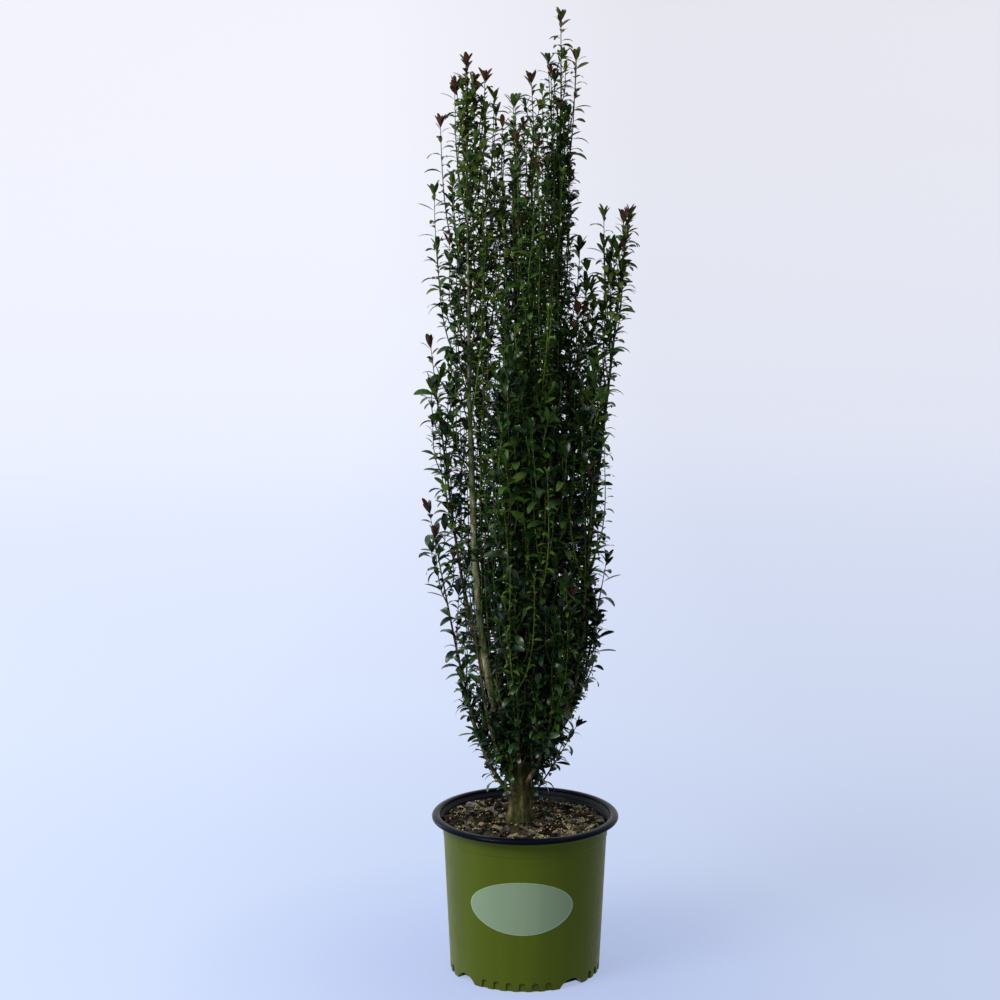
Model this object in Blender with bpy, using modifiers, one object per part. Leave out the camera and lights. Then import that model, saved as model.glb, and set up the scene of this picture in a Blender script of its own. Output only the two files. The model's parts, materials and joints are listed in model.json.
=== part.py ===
"""Upright japanese holly shrub, grown in a three gallon nursery pot, 1.42 m tall overall.

The trunk stands on the pot's soil and forks into upright leaders. Thinner boughs fork off
the leaders and off the foot of the trunk, and each bough ends in one mass of foliage.
Metres, +Z up, the front faces -Y, origin at the centre of the pot's flat underside.
"""

import math
import random
from collections import namedtuple

import bmesh
import bpy
from mathutils import Matrix, Vector
from mathutils.bvhtree import BVHTree

# Clearance between neighbouring solids that meet on the real plant
GAP = 0.0003

# Pot: outside sizes of the wall, its flared mouth and its floor
POT_HEIGHT = 0.241
WALL_TOP_RADIUS = 0.1236
BASE_RADIUS = 0.1124
WALL_THICKNESS = 0.0022
FLOOR_THICKNESS = 0.003
MOUTH_RADIUS = 0.1308
MOUTH_HEIGHT = 0.014
POT_SEGMENTS = 36

# Pot rim: a flange round the mouth with a skirt turned down round it
RIM_INNER_RADIUS = 0.1285
RIM_RADIUS = 0.140
RIM_THICKNESS = 0.0028
RIM_SKIRT = 0.0078
RIM_ROUNDING = 0.0015

# Drain notches: arches cut into the foot of the wall and the edge of the floor
NOTCH_COUNT = 4
NOTCH_FIRST_ANGLE = -142.5
NOTCH_RADIUS = 0.0235
NOTCH_CENTRE_HEIGHT = -0.0105
NOTCH_DEPTH = 0.016
NOTCH_SEGMENTS = 28

# Soil: filled to the foot of the mouth and heaped a little round the trunk
SOIL_DROP = 0.018
SOIL_HEAP = 0.009
SOIL_FLAT_RADIUS = 0.036
SOIL_MIDDLE_SHARE = 0.45

# Trunk: from the soil to its fork
TRUNK_FOOT_X = -0.0085
TRUNK_FORK_X = -0.0030
TRUNK_FORK_HEIGHT = 0.350
TRUNK_RADIUS = 0.0168
TRUNK_FORK_RADIUS = 0.0203
FLARE = 0.0040
FLARE_HEIGHT = 0.014
FLARE_LOBES = 5
FLARE_LOBE_DEPTH = 0.10
FLAT_CUT_DEPTH = 0.0005
TRUNK_SIDES = 16
TRUNK_RINGS = 9
TRUNK_RING_POWER = 1.5

# Boughs: radius of each kind where it forks off, and where its foliage starts
LEADER_RADII = (0.0080, 0.0034)
BRANCH_RADII = (0.0052, 0.0027)
LOW_BOUGH_RADII = (0.0040, 0.0025)
FOOT_SHOOT_RADII = (0.0025, 0.0025)
BOUGH_SIDES = 6
BOUGH_RING_PITCH = 0.065
STEM_RING_PITCH = 0.085
BOUGH_TAPER_POWER = 0.7
FOOT_OFFSET_SHARE = 0.45
SWAY = 0.0022
SWAY_LENGTH = 0.26
WOOD_EDGE_ANGLE = 50.0

# Foliage: three sided twigs with thick diamond leaves, larger than life
TWIG_SIDES = 3
TWIG_RADIUS = 0.0024
TWIG_TIP_RADIUS = 0.0015
STEM_TIP_RADIUS = 0.0018
TWIG_PITCH = 0.072
TWIG_LENGTH = 0.125
TWIG_KNEE_SHARES = (0.45, 0.65)
TWIG_BEND_SHARE = 0.30
TWIG_MIDDLE_SHARE = 0.40
TWIG_TOP_SHARE = 0.85
TWIG_LEAN = 0.04
FIRST_TWIG_SHARE = 0.3
LEAF_LENGTH = 0.060
LEAF_WIDTH = 0.028
LEAF_THICKNESS = 0.0024
LEAF_WIDEST = 0.45
LEAF_CAMBER = 0.003
LEAF_PITCH = 0.041
FIRST_STEM_LEAF_SHARE = 0.5
FIRST_TWIG_LEAF_SHARE = 0.8
LAST_LEAF_SHARE = 0.3
TOP_LEAF_SINK = 0.004
TOP_LEAF_FACING = 40.0
LEAF_ANGLE = 48.0
LEAF_ANGLE_SPREAD = 8.0
LEAF_STEEPER = 9.0
PITCH_SPREAD = 0.15
FOOT_LEAF_SCALE = 0.6
GOLDEN_ANGLE = 137.5
SPACE_MARGIN = 0.003
NEIGHBOUR_REACH = 4.0
TRIES = 4
LIMB_CLEARANCE = 0.001
SEED = 11

# One limb. It forks off its parent at height foot, heads off at the angle turn (0 is right,
# 90 is back), swings out by knee within about the height bend, then leans out by the share
# lean. Its bare wood ends at height tip, and its foliage reaches the height top and stays
# within spread of its stem.
Limb = namedtuple("Limb", "name parent foot turn knee bend lean tip top spread")

LEADERS = (
    Limb("left_leader", "trunk", 0.312, 190, 0.070, 0.150, 0.004, 0.860, 1.355, 0.052),
    Limb("right_leader", "trunk", 0.322, 22, 0.038, 0.110, 0.012, 0.900, 1.419, 0.048),
    Limb("front_leader", "trunk", 0.330, 280, 0.046, 0.120, 0.000, 0.860, 1.331, 0.054),
    Limb("back_leader", "trunk", 0.318, 102, 0.050, 0.120, 0.008, 0.860, 1.300, 0.056),
    Limb("right_outer_leader", "trunk", 0.300, 356, 0.052, 0.050, 0.112, 0.740, 1.141, 0.036),
)

BRANCHES = (
    Limb("centre", "trunk", 0.336, 60, 0.006, 0.080, 0.000, 0.440, 0.900, 0.050),
    Limb("left_side", "left_leader", 0.450, 176, 0.026, 0.080, 0.118, 0.590, 0.953, 0.032),
    Limb("left_front", "left_leader", 0.405, 285, 0.064, 0.110, 0.030, 0.520, 0.960, 0.052),
    Limb("front", "front_leader", 0.400, 294, 0.044, 0.080, 0.030, 0.520, 0.940, 0.052),
    Limb("right_front", "right_outer_leader", 0.372, 312, 0.056, 0.090, 0.020, 0.520, 0.930, 0.050),
    Limb("right_back", "right_leader", 0.410, 52, 0.062, 0.100, 0.010, 0.530, 0.960, 0.052),
    Limb("back", "back_leader", 0.400, 84, 0.050, 0.080, 0.020, 0.520, 0.960, 0.052),
    Limb("left_back", "left_leader", 0.392, 112, 0.072, 0.120, 0.020, 0.530, 0.960, 0.052),
)

LOW_BOUGHS = (
    Limb("left_low", "trunk", 0.262, 184, 0.045, 0.055, 0.187, 0.400, 0.711, 0.034),
    Limb("left_front_low", "trunk", 0.288, 220, 0.052, 0.060, 0.130, 0.355, 0.640, 0.050),
    Limb("front_low", "trunk", 0.296, 264, 0.054, 0.060, 0.140, 0.360, 0.620, 0.050),
    Limb("right_front_low", "trunk", 0.284, 303, 0.058, 0.060, 0.150, 0.355, 0.620, 0.050),
    Limb("right_low", "right_outer_leader", 0.365, 348, 0.028, 0.040, 0.170, 0.420, 0.640, 0.044),
    Limb("right_back_low", "trunk", 0.290, 38, 0.062, 0.060, 0.140, 0.360, 0.640, 0.050),
    Limb("back_low", "trunk", 0.282, 84, 0.058, 0.060, 0.140, 0.355, 0.620, 0.050),
    Limb("left_back_low", "trunk", 0.292, 138, 0.056, 0.060, 0.130, 0.360, 0.640, 0.050),
)

# Short shoots at the foot of the crown, with foliage from the trunk's side on
FOOT_SHOOTS = (
    Limb("foot_right", "trunk", 0.256, 338, 0.012, 0.030, 0.550, None, 0.395, 0.040),
    Limb("foot_front", "trunk", 0.262, 242, 0.014, 0.030, 0.300, None, 0.390, 0.042),
    Limb("foot_left", "trunk", 0.270, 162, 0.014, 0.030, 0.300, None, 0.390, 0.042),
    Limb("foot_back", "trunk", 0.262, 60, 0.014, 0.030, 0.300, None, 0.390, 0.042),
)

BOUGHS = LEADERS + BRANCHES + LOW_BOUGHS
FOLIAGE = BOUGHS + FOOT_SHOOTS

# Colours (linear red, green, blue) and roughness
POT_GREEN = ((0.061, 0.093, 0.013), 0.42)
RIM_BLACK = ((0.010, 0.011, 0.014), 0.45)
SOIL_BROWN = ((0.060, 0.038, 0.024), 0.95)
BARK_GREY = ((0.130, 0.118, 0.070), 0.85)
LEAF_GREEN = ((0.018, 0.045, 0.014), 0.45)

# A three sided sphere of unit height, which every leaf is shaped from
UNIT_LEAF_RADIUS = 0.5
UNIT_LEAF_WIDTH = UNIT_LEAF_RADIUS * math.sqrt(3.0)
UNIT_LEAF_DEPTH = UNIT_LEAF_RADIUS * 1.5

SOIL_EDGE_HEIGHT = POT_HEIGHT - SOIL_DROP
SOIL_TOP = SOIL_EDGE_HEIGHT + SOIL_HEAP
TRUNK_START = SOIL_TOP + GAP
LIMB_OF = {limb.name: limb for limb in FOLIAGE}
TWIG_RADII = [TWIG_RADIUS, (TWIG_RADIUS + TWIG_TIP_RADIUS) / 2.0, TWIG_TIP_RADIUS]


def clear_scene():
    for thing in list(bpy.data.objects):
        bpy.data.objects.remove(thing)


def new_collection(name):
    made = bpy.data.collections.new(name)
    bpy.context.scene.collection.children.link(made)
    return made


def new_material(name, colour, roughness):
    made = bpy.data.materials.new(name)
    made.use_nodes = True
    shader = made.node_tree.nodes["Principled BSDF"]
    shader.inputs["Base Color"].default_value = (*colour, 1.0)
    shader.inputs["Roughness"].default_value = roughness
    shader.inputs["Metallic"].default_value = 0.0
    made.diffuse_color = (*colour, 1.0)
    return made


def add_object(name, mesh, collection, material):
    made = bpy.data.objects.new(name, mesh)
    mesh.materials.clear()
    mesh.materials.append(material)
    collection.objects.link(made)
    return made


# Turned pieces: the pot, its rim and the soil

def turned(name, outline, collection, material, closed=False):
    """A turned piece, from its outline as (radius, height) pairs down its outer side."""
    mesh = bpy.data.meshes.new(name)
    edges = [(n, n + 1) for n in range(len(outline) - 1)]
    if closed:
        edges.append((len(outline) - 1, 0))
    mesh.from_pydata([(radius, 0.0, height) for radius, height in outline], edges, [])
    made = add_object(name, mesh, collection, material)
    screw = made.modifiers.new("turned", "SCREW")
    screw.axis = "Z"
    screw.steps = POT_SEGMENTS
    screw.render_steps = POT_SEGMENTS
    screw.use_merge_vertices = True
    screw.merge_threshold = 0.00001
    screw.use_smooth_shade = True
    return made


def wall_radius(height):
    """Outside radius of the pot's tapered wall."""
    return BASE_RADIUS + (WALL_TOP_RADIUS - BASE_RADIUS) * height / POT_HEIGHT


def build_pot(collection, cutters, material):
    """The wall with its flared mouth and its floor, with drain notches in its foot."""
    wall_top = POT_HEIGHT - RIM_THICKNESS - GAP
    mouth_foot = wall_top - MOUTH_HEIGHT
    inside_foot = FLOOR_THICKNESS
    outline = [
        (0.0, inside_foot),
        (wall_radius(inside_foot) - WALL_THICKNESS, inside_foot),
        (wall_radius(mouth_foot) - WALL_THICKNESS, mouth_foot),
        (MOUTH_RADIUS - WALL_THICKNESS, wall_top),
        (MOUTH_RADIUS, wall_top),
        (wall_radius(mouth_foot), mouth_foot),
        (BASE_RADIUS, 0.0),
        (0.0, 0.0),
    ]
    pot = turned("pot", outline, collection, material)
    notches = bpy.data.collections.new("drain_notches")
    cutters.children.link(notches)
    for n in range(NOTCH_COUNT):
        angle = math.radians(NOTCH_FIRST_ANGLE + 360.0 * n / NOTCH_COUNT)
        outward = Vector((math.cos(angle), math.sin(angle), 0.0))
        shape = bmesh.new()
        bmesh.ops.create_cone(
            shape,
            cap_ends=True,
            segments=NOTCH_SEGMENTS,
            radius1=NOTCH_RADIUS,
            radius2=NOTCH_RADIUS,
            depth=2.0 * NOTCH_DEPTH,
            matrix=outward.to_track_quat("Z", "Y").to_matrix().to_4x4(),
        )
        centre = outward * BASE_RADIUS + Vector((0.0, 0.0, NOTCH_CENTRE_HEIGHT))
        bmesh.ops.translate(shape, verts=shape.verts, vec=centre)
        mesh = bpy.data.meshes.new("drain_notch")
        shape.to_mesh(mesh)
        shape.free()
        cutter = add_object(f"drain_notch_{n + 1}", mesh, notches, material)
        cutter.hide_render = True
        cutter.display_type = "WIRE"
    notched = pot.modifiers.new("notched", "BOOLEAN")
    notched.operation = "DIFFERENCE"
    notched.operand_type = "COLLECTION"
    notched.collection = notches


def build_rim(collection, material):
    """The black flange over the wall's top edge and the skirt that hangs from it."""
    top = POT_HEIGHT
    under = top - RIM_THICKNESS
    outline = [
        (RIM_INNER_RADIUS, under),
        (RIM_INNER_RADIUS, top),
        (RIM_RADIUS - RIM_ROUNDING, top),
        (RIM_RADIUS, top - RIM_ROUNDING),
        (RIM_RADIUS, top - RIM_SKIRT),
        (RIM_RADIUS - RIM_THICKNESS, top - RIM_SKIRT),
        (RIM_RADIUS - RIM_THICKNESS, under),
    ]
    turned("pot_rim", outline, collection, material, closed=True)


def build_soil(collection, material):
    """The potting mix: clear of the wall and floor, heaped a little, flat under the trunk."""
    foot = FLOOR_THICKNESS + GAP
    edge = SOIL_EDGE_HEIGHT
    slack = WALL_THICKNESS + GAP
    middle = (SOIL_FLAT_RADIUS + wall_radius(edge)) / 2.0
    outline = [
        (0.0, SOIL_TOP),
        (SOIL_FLAT_RADIUS, SOIL_TOP),
        (middle, edge + SOIL_MIDDLE_SHARE * SOIL_HEAP),
        (wall_radius(edge) - slack, edge),
        (wall_radius(foot) - slack, foot),
        (0.0, foot),
    ]
    turned("soil", outline, collection, material)


# Limbs: every one follows the same rule, from the leaders to the twigs

def heading(turn):
    angle = math.radians(turn)
    return Vector((math.cos(angle), math.sin(angle), 0.0))


def trunk_point(height):
    share = (height - SOIL_TOP) / (TRUNK_FORK_HEIGHT - SOIL_TOP)
    return Vector((TRUNK_FOOT_X + (TRUNK_FORK_X - TRUNK_FOOT_X) * share, 0.0, height))


def trunk_radius(height):
    above = height - SOIL_TOP
    share = above / (TRUNK_FORK_HEIGHT - SOIL_TOP)
    swell = (TRUNK_FORK_RADIUS - TRUNK_RADIUS) * max(0.0, share) ** 2
    return TRUNK_RADIUS + swell + FLARE * math.exp(-above / FLARE_HEIGHT)


def end_radii(limb):
    """Radius where the limb forks off, and where its foliage starts."""
    if limb in LEADERS:
        return LEADER_RADII
    if limb in BRANCHES:
        return BRANCH_RADII
    return LOW_BOUGH_RADII if limb in LOW_BOUGHS else FOOT_SHOOT_RADII


def limb_foot(limb):
    """Where a limb's centre line starts, inside its parent."""
    if limb.parent == "trunk":
        return trunk_point(limb.foot) + heading(limb.turn) * FOOT_OFFSET_SHARE * TRUNK_RADIUS
    return limb_point(LIMB_OF[limb.parent], limb.foot)


def swung_out(foot, turn, knee, bend, lean, rise, sway_start=0.0):
    """The point of a limb that has risen by rise from its foot."""
    outward = heading(turn)
    sideways = heading(turn + 90.0)
    out = knee * (1.0 - math.exp(-rise / bend)) + lean * rise
    wave = 2.0 * math.pi * rise / SWAY_LENGTH
    swing = math.sin(wave + sway_start) - math.sin(sway_start)
    sway = SWAY * swing * min(1.0, rise / SWAY_LENGTH)
    return foot + outward * out + sideways * sway + Vector((0.0, 0.0, rise))


def limb_point(limb, height):
    rise = height - limb.foot
    sway_start = math.radians(limb.turn)
    return swung_out(limb_foot(limb), limb.turn, limb.knee, limb.bend, limb.lean, rise, sway_start)


def steps(low, high, pitch):
    """Evenly spaced values from low to high, about pitch apart."""
    count = max(1, round((high - low) / pitch))
    return [low + (high - low) * n / count for n in range(count + 1)]


def stem_start(limb):
    """Height at which the limb's foliage stem starts."""
    return limb.foot if limb.tip is None else limb.tip


def leaf_scale(limb):
    """Leaves at the foot of the crown are smaller."""
    return FOOT_LEAF_SCALE if limb.tip is None else 1.0


def stem_end(limb):
    """Height of the foliage stem's end, a leaf's length short of the furthest tip."""
    return limb.top - LEAF_LENGTH * leaf_scale(limb) + TOP_LEAF_SINK


def bough_shape(limb):
    """Centre line and radii of the bare wood, closer rings where it swings out."""
    straight = limb.foot + limb.bend
    heights = steps(limb.foot, straight, BOUGH_RING_PITCH / 2.0)
    heights += steps(straight, limb.tip, BOUGH_RING_PITCH)[1:]
    path = [limb_point(limb, height) for height in heights]
    thick, thin = end_radii(limb)
    shares = [(height - limb.foot) / (limb.tip - limb.foot) for height in heights]
    return path, [thick + (thin - thick) * share ** BOUGH_TAPER_POWER for share in shares]


def stem_shape(limb):
    """Centre line and radii of the foliage's stem, which carries on from the bough."""
    heights = steps(stem_start(limb), stem_end(limb), STEM_RING_PITCH)
    path = [limb_point(limb, height) for height in heights]
    if limb.tip is not None:
        path[0] = path[0] + (path[1] - path[0]).normalized() * GAP
    thick = end_radii(limb)[1]
    last = len(heights) - 1
    return path, [thick + (STEM_TIP_RADIUS - thick) * n / last for n in range(last + 1)]


# Mesh helpers

def twig_section():
    """The three sided outline that every twig is drawn along."""
    if "twig_section" in bpy.data.objects:
        return bpy.data.objects["twig_section"]
    outline = bpy.data.curves.new("twig_section", "CURVE")
    spline = outline.splines.new("POLY")
    spline.points.add(TWIG_SIDES - 1)
    spline.use_cyclic_u = True
    for n, point in enumerate(spline.points):
        angle = 2.0 * math.pi * n / TWIG_SIDES
        point.co = (math.cos(angle), math.sin(angle), 0.0, 1.0)
    made = bpy.data.objects.new("twig_section", outline)
    bpy.data.collections["guides"].objects.link(made)
    made.hide_render = True
    return made


def tube(path, radii, sides):
    """A closed tapering tube along the path, as a mesh."""
    line = bpy.data.curves.new("tube", "CURVE")
    line.dimensions = "3D"
    line.use_fill_caps = True
    if sides == TWIG_SIDES:
        line.bevel_mode = "OBJECT"
        line.bevel_object = twig_section()
    else:
        line.bevel_depth = 1.0
        line.bevel_resolution = sides // 2 - 2
    spline = line.splines.new("POLY")
    spline.points.add(len(path) - 1)
    for point, place, radius in zip(spline.points, path, radii):
        point.co = (*place, 1.0)
        point.radius = radius
    holder = bpy.data.objects.new("tube", line)
    bpy.data.collections["guides"].objects.link(holder)
    graph = bpy.context.evaluated_depsgraph_get()
    mesh = bpy.data.meshes.new_from_object(holder.evaluated_get(graph))
    bpy.data.objects.remove(holder)
    bpy.data.curves.remove(line)
    shape = bmesh.new()
    shape.from_mesh(mesh)
    bmesh.ops.remove_doubles(shape, verts=shape.verts, dist=0.000001)
    bmesh.ops.recalc_face_normals(shape, faces=shape.faces)
    shape.to_mesh(mesh)
    shape.free()
    return mesh


def combined(body, others, operation, solver="EXACT"):
    """The body joined with the others, or cut by them, as one mesh."""
    holder = bpy.data.collections.new("pieces")
    bpy.data.collections["guides"].children.link(holder)
    for n, mesh in enumerate(others):
        holder.objects.link(bpy.data.objects.new(f"piece_{n}", mesh))
    base = bpy.data.objects.new("base", body)
    bpy.data.collections["guides"].objects.link(base)
    boolean = base.modifiers.new("combined", "BOOLEAN")
    boolean.operation = operation
    boolean.operand_type = "COLLECTION"
    boolean.collection = holder
    boolean.solver = solver
    graph = bpy.context.evaluated_depsgraph_get()
    result = bpy.data.meshes.new_from_object(base.evaluated_get(graph))
    bpy.data.objects.remove(base)
    for piece in list(holder.objects):
        bpy.data.objects.remove(piece)
    bpy.data.collections.remove(holder)
    keep_outer_shell(result)
    return result


def keep_outer_shell(mesh):
    """Drops loose scraps and fills sealed hollows: only the largest shell stays."""
    shape = bmesh.new()
    shape.from_mesh(mesh)
    unseen = set(shape.faces)
    shells = []
    while unseen:
        front = [unseen.pop()]
        shell = list(front)
        while front:
            face = front.pop()
            for edge in face.edges:
                for other in edge.link_faces:
                    if other in unseen:
                        unseen.remove(other)
                        front.append(other)
                        shell.append(other)
        shells.append(shell)
    shells.sort(key=lambda shell: sum(face.calc_area() for face in shell))
    scraps = [face for shell in shells[:-1] for face in shell]
    bmesh.ops.delete(shape, geom=scraps, context="FACES")
    shape.to_mesh(mesh)
    shape.free()


def surface(mesh):
    """What a collision test against the mesh needs."""
    return BVHTree.FromPolygons([v.co for v in mesh.vertices], [p.vertices for p in mesh.polygons])


# Trunk and boughs

def trunk_lobe(height):
    """How far the root flare's lobes stand out, as a share of the radius."""
    return FLARE_LOBE_DEPTH * math.exp(-(height - TRUNK_START) / FLARE_HEIGHT)


def trunk_heights():
    """Heights of the trunk's rings, closest together in the root flare."""
    rise = TRUNK_FORK_HEIGHT - TRUNK_START
    return [TRUNK_START + rise * (n / TRUNK_RINGS) ** TRUNK_RING_POWER for n in range(TRUNK_RINGS + 1)]


def build_trunk(collection, material):
    """The trunk, from its flat cut on the soil to its fork, with lobes in its root flare."""
    heights = trunk_heights()
    path = [trunk_point(height) for height in heights]
    mesh = tube(path, [trunk_radius(height) for height in heights], TRUNK_SIDES)
    for vertex in mesh.vertices:
        centre = trunk_point(vertex.co.z)
        angle = math.atan2(vertex.co.y, vertex.co.x - centre.x)
        swell = 1.0 + trunk_lobe(vertex.co.z) * math.cos(FLARE_LOBES * angle)
        vertex.co.x = centre.x + (vertex.co.x - centre.x) * swell
        vertex.co.y = vertex.co.y * swell
        if vertex.co.z < TRUNK_START + FLAT_CUT_DEPTH:
            vertex.co.z = TRUNK_START
    finish_wood(mesh)
    add_object("trunk", mesh, collection, material)


def finish_wood(mesh):
    mesh.shade_smooth()
    mesh.set_sharp_from_angle(angle=math.radians(WOOD_EDGE_ANGLE))


def grown_trunk(extra):
    """The trunk's shape grown by extra all round, its lobes taken as a full ring."""
    heights = trunk_heights()
    radii = [trunk_radius(height) * (1.0 + trunk_lobe(height)) + extra for height in heights]
    heights[-1] += extra
    return tube([trunk_point(height) for height in heights], radii, TRUNK_SIDES)


def grown_stem(limb, extra):
    path, radii = stem_shape(limb)
    return tube(path, [radius + extra for radius in radii], TWIG_SIDES)


def grown_bough(limb, extra):
    path, radii = bough_shape(limb)
    return tube(path, [radius + extra for radius in radii], BOUGH_SIDES)


def build_boughs(collection, material):
    """Each bough starts inside its parent and is cut clear of all the wood before it."""
    wood = [grown_trunk(GAP)]
    for limb in BOUGHS:
        path, radii = bough_shape(limb)
        mesh = combined(tube(path, radii, BOUGH_SIDES), wood, "DIFFERENCE")
        finish_wood(mesh)
        add_object(f"bough_{limb.name}", mesh, collection, material)
        wood.append(grown_bough(limb, GAP))
    return wood


# Foliage

def leaf(root, along, face, scale):
    """One thick keeled leaf: root and tip on its length, its two edges arched up a little."""
    shape = bmesh.new()
    bmesh.ops.create_uvsphere(shape, u_segments=3, v_segments=2, radius=UNIT_LEAF_RADIUS)
    bmesh.ops.rotate(shape, verts=shape.verts, matrix=Matrix.Rotation(math.radians(-90.0), 3, "Z"))
    for vertex in shape.verts:
        middle = abs(vertex.co.z) < UNIT_LEAF_RADIUS / 2.0
        vertex.co.x *= LEAF_WIDTH / UNIT_LEAF_WIDTH
        vertex.co.y *= LEAF_THICKNESS / UNIT_LEAF_DEPTH
        share = LEAF_WIDEST if middle else vertex.co.z + UNIT_LEAF_RADIUS
        vertex.co.z = share * LEAF_LENGTH
        if middle:
            vertex.co.y += LEAF_CAMBER
    across = face.cross(along).normalized()
    normal = along.cross(across)
    turn = Matrix((across, normal, along)).transposed().to_4x4()
    bmesh.ops.transform(
        shape, matrix=Matrix.Translation(root) @ turn @ Matrix.Scale(scale, 4), verts=shape.verts
    )
    bmesh.ops.recalc_face_normals(shape, faces=shape.faces)
    mesh = bpy.data.meshes.new("leaf")
    shape.to_mesh(mesh)
    shape.free()
    return mesh


def distance_to_line(point, line):
    """Distance from the point to a line of joined stretches."""
    nearest = float("inf")
    for start, end in zip(line, line[1:]):
        stretch = end - start
        share = (point - start).dot(stretch) / stretch.length_squared
        share = min(1.0, max(0.0, share))
        nearest = min(nearest, (point - start - stretch * share).length)
    return nearest


class Space:
    """The room that each mass of foliage keeps to: nearer its own stem than any other."""

    def __init__(self):
        self.lines = {limb.name: stem_shape(limb)[0] for limb in FOLIAGE}
        wood = [grown_trunk(LIMB_CLEARANCE)] + [grown_bough(limb, LIMB_CLEARANCE) for limb in BOUGHS]
        self.wood = [surface(mesh) for mesh in wood]
        self.stems = {limb.name: surface(grown_stem(limb, LIMB_CLEARANCE)) for limb in FOLIAGE}
        self.tips = {limb.name: surface(stem_top_leaf(limb)) for limb in FOLIAGE}
        self.taken = []

    def neighbours(self, limb):
        """The names of the other stems that come near this one."""
        own = self.lines[limb.name]
        reach = NEIGHBOUR_REACH * limb.spread
        return [
            name
            for name, line in self.lines.items()
            if name != limb.name and min(distance_to_line(point, line) for point in own) < reach
        ]

    def has_room(self, limb, mesh, near):
        corners = [vertex.co.copy() for vertex in mesh.vertices]
        corners.append(sum(corners, Vector()) / len(corners))
        for corner in corners:
            own = distance_to_line(corner, self.lines[limb.name])
            if own > limb.spread:
                return False
            if any(distance_to_line(corner, self.lines[name]) < own + SPACE_MARGIN for name in near):
                return False
        tested = surface(mesh)
        others = self.wood + self.taken
        for name in near:
            others = others + [self.stems[name], self.tips[name]]
        return not any(tested.overlap(other) for other in others)


def shoot_up(foot, turn, knee, length):
    """A twig: it leaves its stem at a slant and turns upright, as every shoot here does."""
    bend = TWIG_BEND_SHARE * length
    rises = (0.0, TWIG_MIDDLE_SHARE * length, length)
    return [swung_out(foot, turn, knee, bend, TWIG_LEAN, rise) for rise in rises]


def leaves_along(path, start, turn, rng, scale, fits):
    """Leaves in a spiral up the shoot. One that doesn't fit is turned on and set steeper."""
    made = []
    along = start
    length = sum((b - a).length for a, b in zip(path, path[1:]))
    while along < length - LAST_LEAF_SHARE * LEAF_PITCH:
        place, tangent = point_along(path, along)
        slant = LEAF_ANGLE + rng.uniform(-LEAF_ANGLE_SPREAD, LEAF_ANGLE_SPREAD)
        for attempt in range(TRIES):
            turn += GOLDEN_ANGLE
            angle = math.radians(slant - attempt * LEAF_STEEPER)
            side = heading(turn)
            side = (side - tangent * side.dot(tangent)).normalized()
            out = tangent * math.cos(angle) + side * math.sin(angle)
            mesh = leaf(place, out, tangent, scale)
            if fits(mesh):
                made.append(mesh)
                break
        along += scale * LEAF_PITCH * varied(rng)
    return made


def varied(rng):
    return rng.uniform(1.0 - PITCH_SPREAD, 1.0 + PITCH_SPREAD)


def point_along(path, distance):
    """The point that far along the path, and the path's direction there."""
    for start, end in zip(path, path[1:]):
        stretch = (end - start).length
        if distance <= stretch:
            return start.lerp(end, distance / stretch), (end - start).normalized()
        distance -= stretch
    return path[-1].copy(), (path[-1] - path[-2]).normalized()


def top_leaf(path, scale):
    """The leaf that carries a shoot on to its tip."""
    tangent = (path[-1] - path[-2]).normalized()
    side = heading(TOP_LEAF_FACING)
    face = (side - tangent * side.dot(tangent)).normalized()
    return leaf(path[-1] - tangent * TOP_LEAF_SINK, tangent, face, scale)


def stem_top_leaf(limb):
    return top_leaf(stem_shape(limb)[0], leaf_scale(limb))


def fitting_twig(space, limb, near, height, turn, rng):
    """The path of a twig, at the first of a few turns that has room for it, or None."""
    longest = TWIG_TOP_SHARE * (limb.top - height - LEAF_LENGTH)
    length = min(TWIG_LENGTH * varied(rng), longest)
    knee = limb.spread * rng.uniform(*TWIG_KNEE_SHARES)
    foot = limb_point(limb, height)
    for attempt in range(TRIES):
        path = shoot_up(foot, turn + attempt * GOLDEN_ANGLE, knee, length)
        if space.has_room(limb, tube(path, TWIG_RADII, TWIG_SIDES), near):
            return path
    return None


def leafy_pieces(space, limb, path, rng):
    """The leaves of one mass and its twigs in a spiral round the stem, unjoined."""
    near = space.neighbours(limb)
    scale = leaf_scale(limb)

    def leaf_fits(mesh):
        return space.has_room(limb, mesh, near)

    turn = rng.uniform(0.0, 360.0)
    pieces = [stem_top_leaf(limb)]
    first = FIRST_STEM_LEAF_SHARE * scale * LEAF_PITCH
    pieces += leaves_along(path, first, turn, rng, scale, leaf_fits)
    height = stem_start(limb) + FIRST_TWIG_SHARE * TWIG_PITCH
    while height < stem_end(limb) - TWIG_PITCH:
        twig_path = fitting_twig(space, limb, near, height, turn, rng)
        height += TWIG_PITCH * varied(rng)
        turn += GOLDEN_ANGLE
        if twig_path is None:
            continue
        pieces.append(tube(twig_path, TWIG_RADII, TWIG_SIDES))
        first = FIRST_TWIG_LEAF_SHARE * LEAF_PITCH
        pieces += leaves_along(twig_path, first, turn, rng, scale, leaf_fits)
        tip = top_leaf(twig_path, scale)
        if leaf_fits(tip):
            pieces.append(tip)
    return pieces


def build_foliage(collection, material, wood):
    """Every mass: one stem with its upright twigs and leaves, joined into one solid."""
    space = Space()
    for number, limb in enumerate(FOLIAGE):
        path, radii = stem_shape(limb)
        stem = tube(path, radii, TWIG_SIDES)
        if limb.tip is None:
            stem = combined(stem, wood, "DIFFERENCE")
        pieces = leafy_pieces(space, limb, path, random.Random(SEED * 1000 + number))
        mass = combined(stem, pieces, "UNION", "MANIFOLD")
        space.taken.append(surface(mass))
        add_object(f"foliage_{limb.name}", mass, collection, material)


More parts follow.
